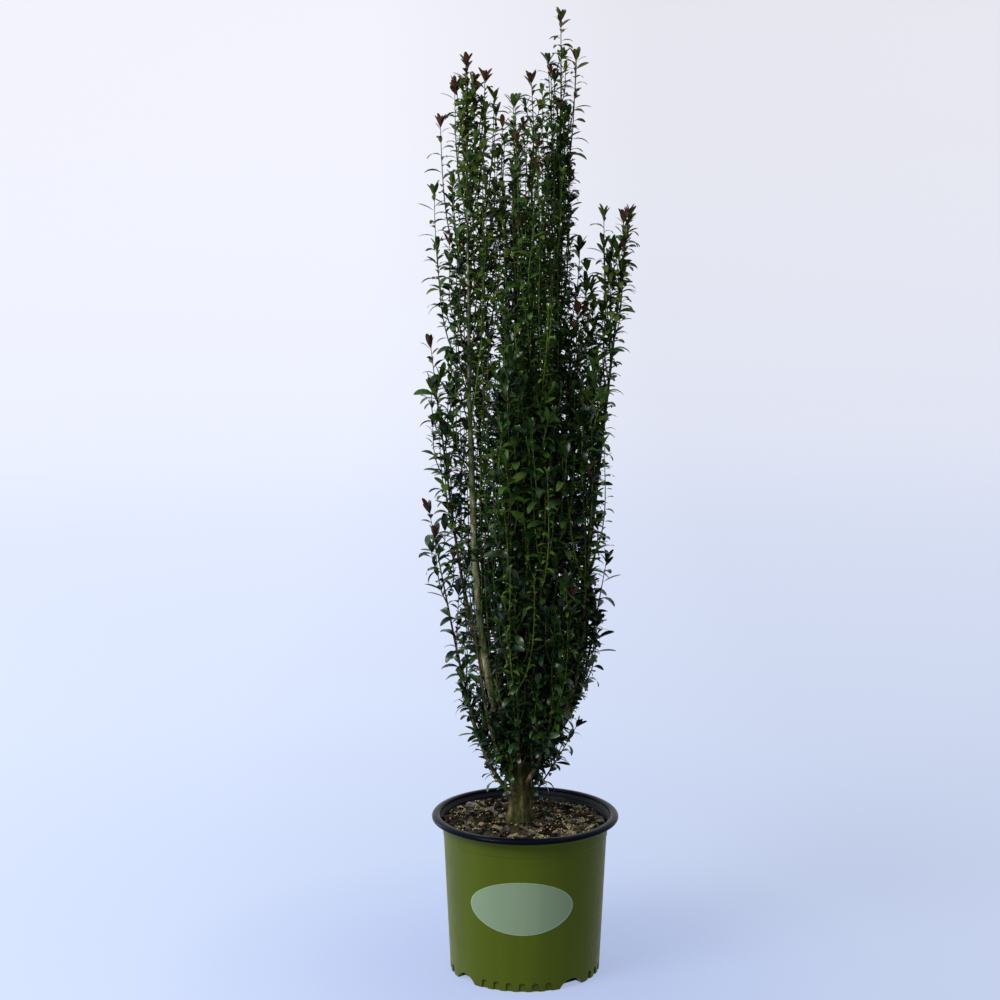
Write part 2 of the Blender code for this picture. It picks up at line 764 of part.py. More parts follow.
def main():
    clear_scene()
    shrub = new_collection("japanese_holly_in_pot")
    cutters = new_collection("cutters")
    guides = new_collection("guides")
    cutters.hide_render = True
    guides.hide_render = True
    build_pot(shrub, cutters, new_material("pot_green", *POT_GREEN))
    build_rim(shrub, new_material("rim_black", *RIM_BLACK))
    build_soil(shrub, new_material("soil_brown", *SOIL_BROWN))
    bark = new_material("bark_grey", *BARK_GREY)
    build_trunk(shrub, bark)
    wood = build_boughs(shrub, bark)
    build_foliage(shrub, new_material("leaf_green", *LEAF_GREEN), wood)


main()
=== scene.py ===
"""Looks of an upright japanese holly shrub in its three gallon nursery pot.

The file is laid out as an add-on and run as a script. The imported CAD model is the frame, and
each piece here stands for the CAD nodes it names. Metres, +Z up, the front faces -Y.
"""

import json
import math
import random
from collections import namedtuple

import bmesh
import bpy
import numpy as np
from bpy.props import FloatProperty, FloatVectorProperty, IntProperty, PointerProperty
from mathutils import Matrix, Vector, noise

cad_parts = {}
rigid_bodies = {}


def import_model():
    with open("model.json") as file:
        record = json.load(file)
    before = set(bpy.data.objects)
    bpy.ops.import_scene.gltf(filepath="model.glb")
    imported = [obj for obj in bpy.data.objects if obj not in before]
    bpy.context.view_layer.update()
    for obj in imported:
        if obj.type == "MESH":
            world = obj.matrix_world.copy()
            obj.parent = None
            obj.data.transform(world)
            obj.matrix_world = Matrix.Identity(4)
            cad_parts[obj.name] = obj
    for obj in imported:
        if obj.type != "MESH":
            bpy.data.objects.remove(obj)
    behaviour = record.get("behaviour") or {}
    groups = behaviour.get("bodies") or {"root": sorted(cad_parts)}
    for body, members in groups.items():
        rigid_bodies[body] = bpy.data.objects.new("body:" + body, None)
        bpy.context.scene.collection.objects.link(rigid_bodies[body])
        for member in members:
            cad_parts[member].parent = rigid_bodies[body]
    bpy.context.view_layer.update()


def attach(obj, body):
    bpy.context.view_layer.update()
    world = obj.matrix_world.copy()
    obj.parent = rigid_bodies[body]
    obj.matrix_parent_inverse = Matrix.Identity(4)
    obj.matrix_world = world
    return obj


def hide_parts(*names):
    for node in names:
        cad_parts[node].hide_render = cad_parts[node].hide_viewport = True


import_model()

bl_info = {
    "name": "Japanese holly in its pot",
    "version": (1, 0, 0),
    "blender": (4, 5, 0),
    "location": "3D View > Sidebar > Holly",
    "description": "Grows the foliage, bark, pot and potting mix of an upright japanese holly",
    "category": "Object",
}


def colour_property(name, description, default):
    return FloatVectorProperty(
        name=name, description=description, default=default, subtype="COLOR", min=0.0, max=1.0
    )


def length_property(name, description, default):
    return FloatProperty(
        name=name, description=description, default=default, unit="LENGTH", precision=4, min=0.0
    )


def angle_property(name, description, degrees):
    return FloatProperty(
        name=name, description=description, default=math.radians(degrees), subtype="ANGLE"
    )


def power_property(name, description, default):
    return FloatProperty(name=name, description=description, default=default, unit="POWER", min=0.0)


class HollyPotSettings(bpy.types.PropertyGroup):
    """Sizes and colours of the pot and its potting mix."""

    height: length_property("Height", "Height of the pot over its rim", 0.241)
    wall_top_radius: length_property("Wall top radius", "Radius of the straight wall at full height", 0.1236)
    base_radius: length_property("Base radius", "Outside radius of the wall at the ground", 0.1124)
    wall_thickness: length_property("Wall thickness", "Thickness of the moulded wall", 0.0022)
    skin_thickness: length_property("Skin thickness", "Thickness of the wall's green outer layer", 0.0013)
    floor_thickness: length_property("Floor thickness", "Thickness of the floor", 0.003)
    foot_thickness: length_property("Foot thickness", "Thickness of the wall's foot", 0.0065)
    foot_height: length_property("Foot height", "Height of the wall's thick foot", 0.016)
    mouth_radius: length_property("Mouth radius", "Outside radius of the flared mouth", 0.1308)
    mouth_height: length_property("Mouth height", "Height of the flared mouth", 0.014)
    band_height: length_property("Band height", "Height of the faint band under the mouth", 0.016)
    band_step: length_property("Band step", "How far the band stands out of the wall", 0.0008)
    rim_radius: length_property("Rim radius", "Outside radius of the rolled rim", 0.140)
    rim_inner_radius: length_property("Rim inner radius", "Inside radius of the rolled rim", 0.1276)
    rim_height: length_property("Rim height", "Height of the rolled rim", 0.0078)
    notch_angle: angle_property("First notch", "Direction of the first drain notch", -142.5)
    notch_radius: length_property("Notch radius", "Radius of a drain notch's arch", 0.0235)
    notch_drop: length_property("Notch drop", "How far the arch's centre lies below the ground", 0.0105)
    notch_depth: length_property("Notch depth", "How far a notch reaches into the floor", 0.016)
    flute_pitch: angle_property("Flute pitch", "Turn from one foot flute to the next", 9.9)
    flute_width: length_property("Flute width", "Width of a foot flute", 0.0102)
    flute_height: length_property("Flute height", "Height of a foot flute", 0.0138)
    flute_depth: length_property("Flute depth", "Depth of a foot flute", 0.0026)
    soil_drop: length_property("Soil drop", "How far the mix lies below the rim at the wall", 0.018)
    soil_heap: length_property("Soil heap", "How far the mix is heaped round the trunk", 0.003)
    green: colour_property("Pot green", "Olive green of the wall", (0.069, 0.100, 0.006))
    rim_black: colour_property("Rim black", "Blue-black of the rim", (0.0022, 0.0028, 0.0060))
    lining_grey: colour_property("Lining grey", "Dark blue grey of the inside", (0.0032, 0.0042, 0.0090))
    panel_sage: colour_property("Panel sage", "Pale sage of the oval panel", (0.205, 0.290, 0.195))
    soil_dark: colour_property("Soil dark", "Dark fines between the chips", (0.009, 0.006, 0.004))


class HollyPlantSettings(bpy.types.PropertyGroup):
    """Sizes and colours of the wood, twigs and leaves."""

    leaf_length: length_property("Leaf length", "Length of a full grown leaf", 0.0232)
    leaf_width: length_property("Leaf width", "Width of a full grown leaf", 0.0079)
    leaf_pitch: length_property("Leaf pitch", "Distance from one leaf to the next along a shoot", 0.0077)
    shoot_pitch: length_property("Shoot pitch", "Distance from one shoot to the next along a stem", 0.0092)
    shoot_length: length_property("Shoot length", "Usual length of a side shoot", 0.120)
    twig_radius: length_property("Twig radius", "Radius of a shoot at its foot", 0.0011)
    tip_radius: length_property("Tip radius", "Radius of a shoot at its tip", 0.0005)
    bark_dark: colour_property("Trunk bark", "Dark grey-brown of the trunk", (0.048, 0.042, 0.016))
    bark_brown: colour_property("Bark", "Grey-brown of the boughs", (0.080, 0.068, 0.038))
    bark_pale: colour_property("Pale bark", "Pale grey-green of the stem that shows", (0.165, 0.165, 0.098))
    twig_brown: colour_property("Twigs", "Grey-brown of the older twigs", (0.050, 0.046, 0.023))
    twig_dull: colour_property("Dull shoots", "Dull green of the leafy shoots", (0.056, 0.080, 0.016))
    shoot_green: colour_property("Green shoots", "Yellow green of this year's shoots", (0.080, 0.120, 0.012))
    # The leaf tints are dealt out by place in the crown: the deep and dark ones partly painted shade, the mid
    # and olive ones partly painted light
    leaf_deep: colour_property("Deep leaves", "Blue green of the shaded leaves", (0.0040, 0.0160, 0.0056))
    leaf_dark: colour_property("Dark leaves", "Green of the leaves farther out", (0.0132, 0.0385, 0.0072))
    leaf_mid: colour_property("Middle leaves", "Green of the middle leaves", (0.0300, 0.0700, 0.0095))
    leaf_olive: colour_property("Olive leaves", "Olive green of the sunlit leaves", (0.0590, 0.0920, 0.0125))
    leaf_fresh: colour_property("Fresh leaves", "Yellow green of young leaves", (0.0500, 0.0960, 0.0078))
    leaf_bronze: colour_property("Bronze leaves", "Red bronze of the tips", (0.0580, 0.0270, 0.0140))
    seed: IntProperty(name="Seed", description="Seed of the branching rule", default=11, min=0)


class HollyStageSettings(bpy.types.PropertyGroup):
    """The floor, the backdrop, the light and the lens."""

    floor_radius: length_property("Floor radius", "Radius of the flat floor", 5.0)
    sweep_radius: length_property("Sweep radius", "Radius of the sweep from floor to wall", 2.5)
    wall_height: length_property("Wall height", "Height of the backdrop's wall above the sweep", 3.0)
    # The paper's tones by distance are painted light: darkest round the pot as painted shade, paler over the
    # far floor and up the wall
    painted_shade_colour: colour_property("Near colour", "Pale blue of the floor round the pot", (0.470, 0.550, 0.800))
    floor_colour: colour_property("Floor colour", "Pale blue of the floor", (0.555, 0.635, 0.840))
    far_colour: colour_property("Far colour", "Paler blue of the far floor", (0.635, 0.705, 0.890))
    sweep_colour: colour_property("Sweep colour", "Pale blue of the sweep's foot", (0.740, 0.790, 0.950))
    wall_colour: colour_property("Wall colour", "Pale lavender of the wall", (0.910, 0.910, 0.985))
    paper_glow: FloatProperty(name="Paper glow", description="The paper's own light", default=0.76)
    paper_tone: FloatProperty(name="Paper tone", description="Share of its colour that is lit", default=0.28)
    bright_side: FloatProperty(name="Left paper", description="Light of the paper at the left", default=1.06)
    dark_side: FloatProperty(name="Right paper", description="Light of the paper at the right", default=0.93)
    sky_colour: colour_property("Sky colour", "Colour of the even light", (0.93, 0.96, 1.00))
    sky_low: FloatProperty(name="Dim sky", description="Even light from the dim side", default=0.34)
    sky_high: FloatProperty(name="Bright sky", description="Even light from the bright side", default=1.00)
    key_power: power_property("Key power", "Power of the large soft light", 110.0)
    strip_power: power_property("Strip power", "Power of the tall light at the side", 13.0)
    lens: FloatProperty(
        name="Lens", description="Focal length on a 36 mm sensor", default=85.0, subtype="DISTANCE_CAMERA"
    )


# One limb. It forks off its parent at height foot, heads off at the angle turn (0 is right,
# 90 is back), swings out by knee within about the height bend, then leans out by the share
# lean. Its bare wood ends at height tip, and its foliage reaches the height top and stays
# within spread of its stem.
Limb = namedtuple("Limb", "name parent foot turn knee bend lean tip top spread")

LEADERS = (
    Limb("left_leader", "trunk", 0.312, 190, 0.070, 0.150, 0.004, 0.860, 1.355, 0.052),
    Limb("right_leader", "trunk", 0.322, 22, 0.038, 0.110, 0.012, 0.900, 1.419, 0.048),
    Limb("front_leader", "trunk", 0.330, 280, 0.046, 0.120, 0.000, 0.860, 1.331, 0.054),
    Limb("back_leader", "trunk", 0.318, 102, 0.050, 0.120, 0.008, 0.860, 1.300, 0.056),
    Limb("right_outer_leader", "trunk", 0.300, 356, 0.052, 0.050, 0.112, 0.740, 1.141, 0.036),
)

BRANCHES = (
    Limb("centre", "trunk", 0.336, 60, 0.006, 0.080, 0.000, 0.440, 0.900, 0.050),
    Limb("left_side", "left_leader", 0.450, 176, 0.026, 0.080, 0.118, 0.590, 0.953, 0.032),
    Limb("left_front", "left_leader", 0.405, 285, 0.064, 0.110, 0.030, 0.520, 0.960, 0.052),
    Limb("front", "front_leader", 0.400, 294, 0.044, 0.080, 0.030, 0.520, 0.940, 0.052),
    Limb("right_front", "right_outer_leader", 0.372, 312, 0.056, 0.090, 0.020, 0.520, 0.930, 0.050),
    Limb("right_back", "right_leader", 0.410, 52, 0.062, 0.100, 0.010, 0.530, 0.960, 0.052),
    Limb("back", "back_leader", 0.400, 84, 0.050, 0.080, 0.020, 0.520, 0.960, 0.052),
    Limb("left_back", "left_leader", 0.392, 112, 0.072, 0.120, 0.020, 0.530, 0.960, 0.052),
)

LOW_BOUGHS = (
    Limb("left_low", "trunk", 0.262, 184, 0.045, 0.055, 0.187, 0.400, 0.711, 0.034),
    Limb("left_front_low", "trunk", 0.288, 220, 0.052, 0.060, 0.130, 0.355, 0.640, 0.050),
    Limb("front_low", "trunk", 0.296, 264, 0.054, 0.060, 0.140, 0.360, 0.620, 0.050),
    Limb("right_front_low", "trunk", 0.284, 303, 0.058, 0.060, 0.150, 0.355, 0.620, 0.050),
    Limb("right_low", "right_outer_leader", 0.365, 348, 0.028, 0.040, 0.170, 0.420, 0.640, 0.044),
    Limb("right_back_low", "trunk", 0.290, 38, 0.062, 0.060, 0.140, 0.360, 0.640, 0.050),
    Limb("back_low", "trunk", 0.282, 84, 0.058, 0.060, 0.140, 0.355, 0.620, 0.050),
    Limb("left_back_low", "trunk", 0.292, 138, 0.056, 0.060, 0.130, 0.360, 0.640, 0.050),
)

FOOT_SHOOTS = (
    Limb("foot_right", "trunk", 0.256, 338, 0.012, 0.030, 0.550, None, 0.395, 0.040),
    Limb("foot_front", "trunk", 0.262, 242, 0.014, 0.030, 0.300, None, 0.390, 0.042),
    Limb("foot_left", "trunk", 0.270, 162, 0.014, 0.030, 0.300, None, 0.390, 0.042),
    Limb("foot_back", "trunk", 0.262, 60, 0.014, 0.030, 0.300, None, 0.390, 0.042),
)

# Side shoots that show against the sky: the limb, the height where they leave it, the way
# they head, how far they swing out and how long they are
SideShoot = namedtuple("SideShoot", "limb foot turn knee length")

SIDE_SHOOTS = (
    SideShoot("left_leader", 1.150, 345, 0.028, 0.125),
    SideShoot("left_leader", 1.140, 185, 0.018, 0.170),
    SideShoot("left_leader", 1.130, 340, 0.028, 0.190),
    SideShoot("left_leader", 1.060, 15, 0.038, 0.235),
    SideShoot("left_leader", 1.080, 30, 0.044, 0.190),
    SideShoot("left_leader", 1.020, 5, 0.052, 0.210),
    SideShoot("left_leader", 1.000, 350, 0.050, 0.255),
    SideShoot("left_leader", 1.040, 170, 0.040, 0.215),
    SideShoot("left_leader", 0.930, 186, 0.050, 0.230),
    SideShoot("left_leader", 0.880, 12, 0.046, 0.230),
    SideShoot("left_leader", 0.920, 340, 0.050, 0.200),
    SideShoot("front_leader", 0.900, 188, 0.040, 0.215),
    SideShoot("back_leader", 0.900, 172, 0.038, 0.235),
    SideShoot("back_leader", 0.830, 182, 0.044, 0.220),
    SideShoot("left_leader", 0.900, 172, 0.046, 0.180),
    SideShoot("left_leader", 0.760, 178, 0.034, 0.160),
    SideShoot("left_leader", 0.730, 215, 0.030, 0.160),
    SideShoot("right_leader", 1.160, 352, 0.024, 0.190),
    SideShoot("right_leader", 1.220, 8, 0.024, 0.130),
    SideShoot("right_leader", 1.150, 200, 0.014, 0.195),
    SideShoot("right_leader", 1.080, 8, 0.014, 0.190),
    SideShoot("right_leader", 0.980, 350, 0.018, 0.200),
    SideShoot("right_leader", 0.930, 8, 0.034, 0.150),
    SideShoot("right_leader", 0.900, 338, 0.048, 0.150),
    SideShoot("right_leader", 0.870, 356, 0.052, 0.150),
    SideShoot("right_leader", 0.830, 10, 0.044, 0.200),
    SideShoot("right_leader", 0.800, 345, 0.056, 0.190),
    SideShoot("right_leader", 0.780, 0, 0.050, 0.170),
    SideShoot("right_leader", 0.860, 20, 0.036, 0.150),
    SideShoot("front_leader", 1.120, 190, 0.026, 0.165),
    SideShoot("right_outer_leader", 0.940, 190, 0.014, 0.186),
    SideShoot("right_outer_leader", 0.860, 180, 0.030, 0.160),
    SideShoot("right_outer_leader", 0.820, 195, 0.040, 0.170),
    SideShoot("right_outer_leader", 0.780, 170, 0.036, 0.180),
    SideShoot("right_outer_leader", 0.970, 345, 0.012, 0.150),
    SideShoot("right_outer_leader", 0.930, 200, 0.014, 0.155),
    SideShoot("left_side", 0.790, 8, 0.018, 0.125),
    SideShoot("left_side", 0.700, 180, 0.018, 0.130),
    SideShoot("left_low", 0.590, 350, 0.020, 0.112),
    SideShoot("left_low", 0.560, 188, 0.018, 0.100),
    SideShoot("right_front_low", 0.305, 345, 0.040, 0.080),
    SideShoot("right_front_low", 0.290, 20, 0.036, 0.070),
    SideShoot("right_low", 0.430, 350, 0.026, 0.100),
)

# Young light green shoots that stand up in front of the crown, and the size of their leaves
YOUNG_SHOOTS = (
    SideShoot("right_front_low", 0.400, 312, 0.038, 0.210),
    SideShoot("front_low", 0.430, 250, 0.038, 0.200),
    SideShoot("front_low", 0.450, 305, 0.042, 0.170),
    SideShoot("left_front", 0.590, 262, 0.036, 0.180),
    SideShoot("front", 0.590, 285, 0.042, 0.180),
    SideShoot("right_front", 0.620, 318, 0.036, 0.190),
    SideShoot("front_leader", 0.800, 300, 0.046, 0.200),
    SideShoot("front_leader", 0.780, 246, 0.048, 0.190),
)
YOUNG_LEAVES = (0.42, 0.62)

# How often any other shoot is a young one, and up to which height
YOUNG_CHANCE = 0.12
YOUNG_TO = 1.12

# This much of a side shoot's foot has no leaves
SIDE_SHOOT_BARE = 0.015

# The middle of the crown, and about half its width
CROWN_MIDDLE = Vector((-0.006, 0.0, 0.0))
CROWN_HALF_WIDTH = 0.15

# Boughs have no longer side shoots below this height
SHOOTS_FROM = 0.285

# How full of shoots these limbs are; the others are full
FULLNESS = {"left_low": 0.32, "left_side": 0.48, "left_back_low": 0.42, "left_front_low": 0.48}

# The left leader is fuller above this height
FULLER_LIMB = "left_leader"
FULLER_FROM = 0.90
FULLER_SHARE = 1.55

# The leaders are fullest between these heights
FULL_FROM = 0.66
FULL_TO = 1.05
FULL_SHARE = 1.32

# Near its top a leader has fewer shoots
TOP_STRETCH = 0.25
TOP_SHARES = {"left_leader": 1.05, "front_leader": 0.34, "right_leader": 0.28, "back_leader": 0.26}
USUAL_TOP_SHARE = 0.55
TOP_CLEAR = 0.060

# The top stretch of a leader has a second spiral of leaves
LEAFY_TOP = 0.115
LEAFY_TOP_SCALE = 1.04

# How fast a leader's crown widens below its top, per metre
LEADER_WIDENING = {"right_leader": 1.9, "left_leader": 4.2}
USUAL_WIDENING = 2.6
NARROWEST = 0.26

# How far left and right the shoots of the crown's body reach, above each height
SIDE_LIMITS = (
    (0.00, -0.066, 0.106), (0.35, -0.080, 0.106), (0.39, -0.092, 0.106), (0.44, -0.102, 0.106),
    (0.50, -0.112, 0.106), (0.56, -0.125, 0.106), (0.95, -0.118, 0.106), (0.985, -0.116, 0.084),
    (1.03, -0.113, 0.078), (1.12, -0.108, 0.064), (1.19, -0.099, 0.064),
)

# The limbs outside the left leader keep within the left limit below this height
LOW_LIMITS_TO = 0.56

# The right outer leader is bare on its outer side below this height
BARE_OUTER_LIMB = "right_outer_leader"
BARE_OUTER_TO = 0.93

# Sky shows between the left leader and the two limbs outside it
SKY_LIMBS = ("left_low", "left_side")
SKY_X = -0.076
SKY_FROM = 0.42
SKY_TO = 0.80
SKY_SHARE = 0.92

# Short leafy shoots cover the boughs' feet between these heights
COVER_FROM = 0.264
COVER_TO = 0.410
COVER_PITCH = 0.0095

BOUGHS = LEADERS + BRANCHES + LOW_BOUGHS
FOLIAGE = BOUGHS + FOOT_SHOOTS
LIMB_OF = {limb.name: limb for limb in FOLIAGE}

# Radius of each kind of bough where it forks off, and where its foliage starts. The shoots at
# the trunk's foot are finer here than in the solids.
LEADER_RADII = (0.0080, 0.0034)
BRANCH_RADII = (0.0052, 0.0027)
LOW_BOUGH_RADII = (0.0040, 0.0025)
FOOT_SHOOT_RADII = (0.0020, 0.0018)
BOUGH_TAPER_POWER = 0.7
FOOT_OFFSET_SHARE = 0.45

# A limb's slow sway from side to side
SWAY = 0.0022
SWAY_LENGTH = 0.26

# The trunk: its lean, its swell to the fork, and the lobes of its root flare
TRUNK_FOOT_X = -0.0085
TRUNK_FORK_X = -0.0030
TRUNK_FORK_HEIGHT = 0.350
TRUNK_RADIUS = 0.0168
TRUNK_FORK_RADIUS = 0.0203
FLARE = 0.0040
FLARE_HEIGHT = 0.014
FLARE_LOBES = 5
FLARE_LOBE_DEPTH = 0.10

# The solid trunk is cut flat at the first height. The mix lies a little lower round it here, so
# its bark is carried on down into the mix, to the second.
SOIL_TOP = 0.232
TRUNK_BARK_FROM = 0.217

# The turn from one leaf or shoot to the next, in degrees
GOLDEN_ANGLE = 137.5

# Faces that meet at less than these angles, in degrees, are shaded as one surface
MOULDED_ANGLE = 40.0
SOFT_ANGLE = 60.0


def pot_settings():
    return bpy.context.scene.holly_pot


def plant_settings():
    return bpy.context.scene.holly_plant


def stage_settings():
    return bpy.context.scene.holly_stage


# Materials

def new_material(name):
    """A material with its nodes, its links and its shader."""
    made = bpy.data.materials.new(name)
    made.use_nodes = True
    tree = made.node_tree
    return made, tree.nodes, tree.links, tree.nodes["Principled BSDF"]


def object_pattern(nodes, links, stretch=(1.0, 1.0, 1.0)):
    """Object coordinates, stretched: what every pattern here is drawn in."""
    place = nodes.new("ShaderNodeTexCoord")
    mapping = nodes.new("ShaderNodeMapping")
    mapping.inputs["Scale"].default_value = stretch
    links.new(place.outputs["Object"], mapping.inputs["Vector"])
    return mapping.outputs["Vector"]


def noise_node(nodes, links, place, scale, detail=4.0, roughness=0.55):
    made = nodes.new("ShaderNodeTexNoise")
    made.inputs["Scale"].default_value = scale
    made.inputs["Detail"].default_value = detail
    made.inputs["Roughness"].default_value = roughness
    links.new(place, made.inputs["Vector"])
    return made.outputs["Fac"]


def ramp_node(nodes, links, value, stops):
    """A colour ramp over the value, from (position, colour) stops."""
    made = nodes.new("ShaderNodeValToRGB")
    ramp = made.color_ramp
    while len(ramp.elements) < len(stops):
        ramp.elements.new(0.5)
    for element, (position, colour) in zip(ramp.elements, stops):
        element.position = position
        element.color = (*colour, 1.0)
    links.new(value, made.inputs["Fac"])
    return made.outputs["Color"]


def range_node(nodes, links, value, low, high):
    """The value's middle stretch, spread from low to high."""
    made = nodes.new("ShaderNodeMapRange")
    made.inputs["From Min"].default_value = 0.3
    made.inputs["From Max"].default_value = 0.7
    made.inputs["To Min"].default_value = low
    made.inputs["To Max"].default_value = high
    links.new(value, made.inputs["Value"])
    return made.outputs["Result"]


def bump_node(nodes, links, height, strength, distance, shader):
    made = nodes.new("ShaderNodeBump")
    made.inputs["Strength"].default_value = strength
    made.inputs["Distance"].default_value = distance
    links.new(height, made.inputs["Height"])
    links.new(made.outputs["Normal"], shader.inputs["Normal"])


def times(colour, share):
    return tuple(min(1.0, part * share) for part in colour)


# Moulded plastic: its flow streaks run down the wall, and scuffs make it shine or dull it
STREAK_STRETCH = (30.0, 30.0, 2.5)
SCUFF_SHINE = 0.06
SCUFF_DULL = 0.08


def plastic_material(name, colour, roughness, mottle, gloss=0.25, gloss_tint=(1.0, 1.0, 1.0)):
    """Moulded plastic: flow streaks down the wall, fine scuffs and a faint grain."""
    made, nodes, links, shader = new_material(name)
    shader.inputs["Specular IOR Level"].default_value = gloss
    shader.inputs["Specular Tint"].default_value = (*gloss_tint, 1.0)
    colour = tuple(colour)
    streaks = noise_node(nodes, links, object_pattern(nodes, links, STREAK_STRETCH), 1.0)
    stops = [(0.30, times(colour, 1.0 - mottle)), (0.55, colour), (0.75, times(colour, 1.0 + mottle))]
    links.new(ramp_node(nodes, links, streaks, stops), shader.inputs["Base Color"])
    scuffs = noise_node(nodes, links, object_pattern(nodes, links, (1.0, 1.0, 0.4)), 140.0, 6.0)
    uneven = range_node(nodes, links, scuffs, roughness - SCUFF_SHINE, roughness + SCUFF_DULL)
    links.new(uneven, shader.inputs["Roughness"])
    grain = noise_node(nodes, links, object_pattern(nodes, links), 900.0, 2.0)
    bump_node(nodes, links, grain, 0.12, 0.0003, shader)
    return made


# Bark: its darkest and palest patches against its colour, and its green share by channel
BARK_DARKEST = 0.14
BARK_PALEST = 2.9
BARK_GREEN = (0.62, 0.86, 0.50)


def bark_material(name, colour, fineness):
    """Young bark: grey-brown and greenish patches, pale specks, fine cracks along the limb."""
    made, nodes, links, shader = new_material(name)
    colour = tuple(colour)
    green = tuple(part * share for part, share in zip(colour, BARK_GREEN))
    grown = object_pattern(nodes, links, (1.0, 1.0, 0.30))
    patches = noise_node(nodes, links, grown, 75.0 * fineness, 8.0, 0.80)
    darkest, palest = times(colour, BARK_DARKEST), times(colour, BARK_PALEST)
    stops = [(0.38, darkest), (0.46, green), (0.53, colour), (0.61, palest)]
    links.new(ramp_node(nodes, links, patches, stops), shader.inputs["Base Color"])
    along = object_pattern(nodes, links, (1.0, 1.0, 0.22))
    cracks = noise_node(nodes, links, along, 420.0 * fineness, 5.0, 0.7)
    bump_node(nodes, links, cracks, 0.6, 0.0012, shader)
    shader.inputs["Roughness"].default_value = 0.86
    shader.inputs["Specular IOR Level"].default_value = 0.20
    return made


def leaf_material(name, colour, roughness, gloss=0.14):
    """Leathery leaf: its tint, faintly uneven, with a soft gloss."""
    made, nodes, links, shader = new_material(name)
    colour = tuple(colour)
    uneven = noise_node(nodes, links, object_pattern(nodes, links), 260.0, 2.0)
    stops = [(0.30, times(colour, 0.80)), (0.50, colour), (0.72, times(colour, 1.22))]
    links.new(ramp_node(nodes, links, uneven, stops), shader.inputs["Base Color"])
    bump_node(nodes, links, uneven, 0.25, 0.0006, shader)
    shader.inputs["Roughness"].default_value = roughness
    shader.inputs["Specular IOR Level"].default_value = gloss
    return made


def chip_material(name, colour, roughness=0.9):
    """Weathered bark chip: uneven tone and a fibrous surface."""
    made, nodes, links, shader = new_material(name)
    colour = tuple(colour)
    tone = noise_node(nodes, links, object_pattern(nodes, links), 180.0, 5.0, 0.65)
    stops = [(0.30, times(colour, 0.45)), (0.52, colour), (0.74, times(colour, 1.55))]
    links.new(ramp_node(nodes, links, tone, stops), shader.inputs["Base Color"])
    bump_node(nodes, links, tone, 0.7, 0.0010, shader)
    shader.inputs["Roughness"].default_value = roughness
    shader.inputs["Specular IOR Level"].default_value = 0.12
    return made


# Pieces

def add_piece(name, mesh, material, replaced=()):
    """A finished piece: in the scene, on its body and with its finish; the CAD nodes it replaces are hidden.
    """
    piece = bpy.data.objects.new(name, mesh)
    mesh.materials.clear()
    mesh.materials.append(material)
    bpy.context.scene.collection.objects.link(piece)
    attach(piece, "root")
    if replaced:
        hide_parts(*replaced)
    return piece


def mesh_from(shape, name, smooth_angle=None):
    """The bmesh as a mesh, shaded smooth where its faces turn by less than the angle."""
    mesh = bpy.data.meshes.new(name)
    shape.to_mesh(mesh)
    shape.free()
    if smooth_angle is not None:
        mesh.shade_smooth()
        mesh.set_sharp_from_angle(angle=math.radians(smooth_angle))
    return mesh


def turned(outline, steps, closed=False):
    """The outline, as (radius, height) pairs, spun once round the pot's axis."""
    shape = bmesh.new()
    verts = [shape.verts.new((radius, 0.0, height)) for radius, height in outline]
    edges = [shape.edges.new(pair) for pair in zip(verts, verts[1:])]
    if closed:
        edges.append(shape.edges.new((verts[-1], verts[0])))
    bmesh.ops.spin(
        shape, geom=verts + edges, cent=(0, 0, 0), axis=(0, 0, 1), dvec=(0, 0, 0),
        angle=2.0 * math.pi, steps=steps, use_merge=True, use_duplicate=False,
    )
    bmesh.ops.remove_doubles(shape, verts=shape.verts, dist=0.000002)
    bmesh.ops.recalc_face_normals(shape, faces=shape.faces)
    return shape


def rounded(outline, radius, segments=4):
    """The outline with each corner between its two ends cut into a short curve."""
    corners = [Vector(corner) for corner in outline]
    made = [tuple(corners[0])]
    for before, corner, after in zip(corners, corners[1:], corners[2:]):
        reach = min(radius, 0.45 * (before - corner).length, 0.45 * (after - corner).length)
        start = corner + (before - corner).normalized() * reach
        end = corner + (after - corner).normalized() * reach
        for step in range(segments + 1):
            share = step / segments
            made.append(tuple(
                start * (1.0 - share) ** 2 + corner * 2.0 * share * (1.0 - share) + end * share ** 2
            ))
    made.append(tuple(corners[-1]))
    return made


# The wall's top edge lies this far under the top of the rim that laps over it
WALL_UNDER_RIM = 0.0031

# Small steps and roundings of the moulded pot
EASE = 0.0004
FOOT_EASE = 0.0006
FOOT_EASE_HEIGHT = 0.0125
FOOT_RUN_OUT = 0.004
CORNER_RADIUS = 0.0010
LIP_CORNER_RADIUS = 0.0014
RIDGE_SHARE = 0.55
RIDGE_HALF_HEIGHT = 0.0012
RIDGE_DEPTH = 0.0010
LINING_CLEAR = 0.0001


def wall_radius(height):
    pot = pot_settings()
    return pot.base_radius + (pot.wall_top_radius - pot.base_radius) * height / pot.height


def mouth_foot():
    """Height at which the straight wall turns out into the mouth."""
    pot = pot_settings()
    return wall_top() - pot.mouth_height


def wall_top():
    pot = pot_settings()
    return pot.height - WALL_UNDER_RIM


def inner_radius(height):
    """Inside radius of the pot: the straight wall, then the flared mouth."""
    pot = pot_settings()
    rise = (height - mouth_foot()) / pot.mouth_height
    straight = wall_radius(min(height, mouth_foot()))
    return straight + (pot.mouth_radius - straight) * min(1.0, max(0.0, rise)) - pot.wall_thickness


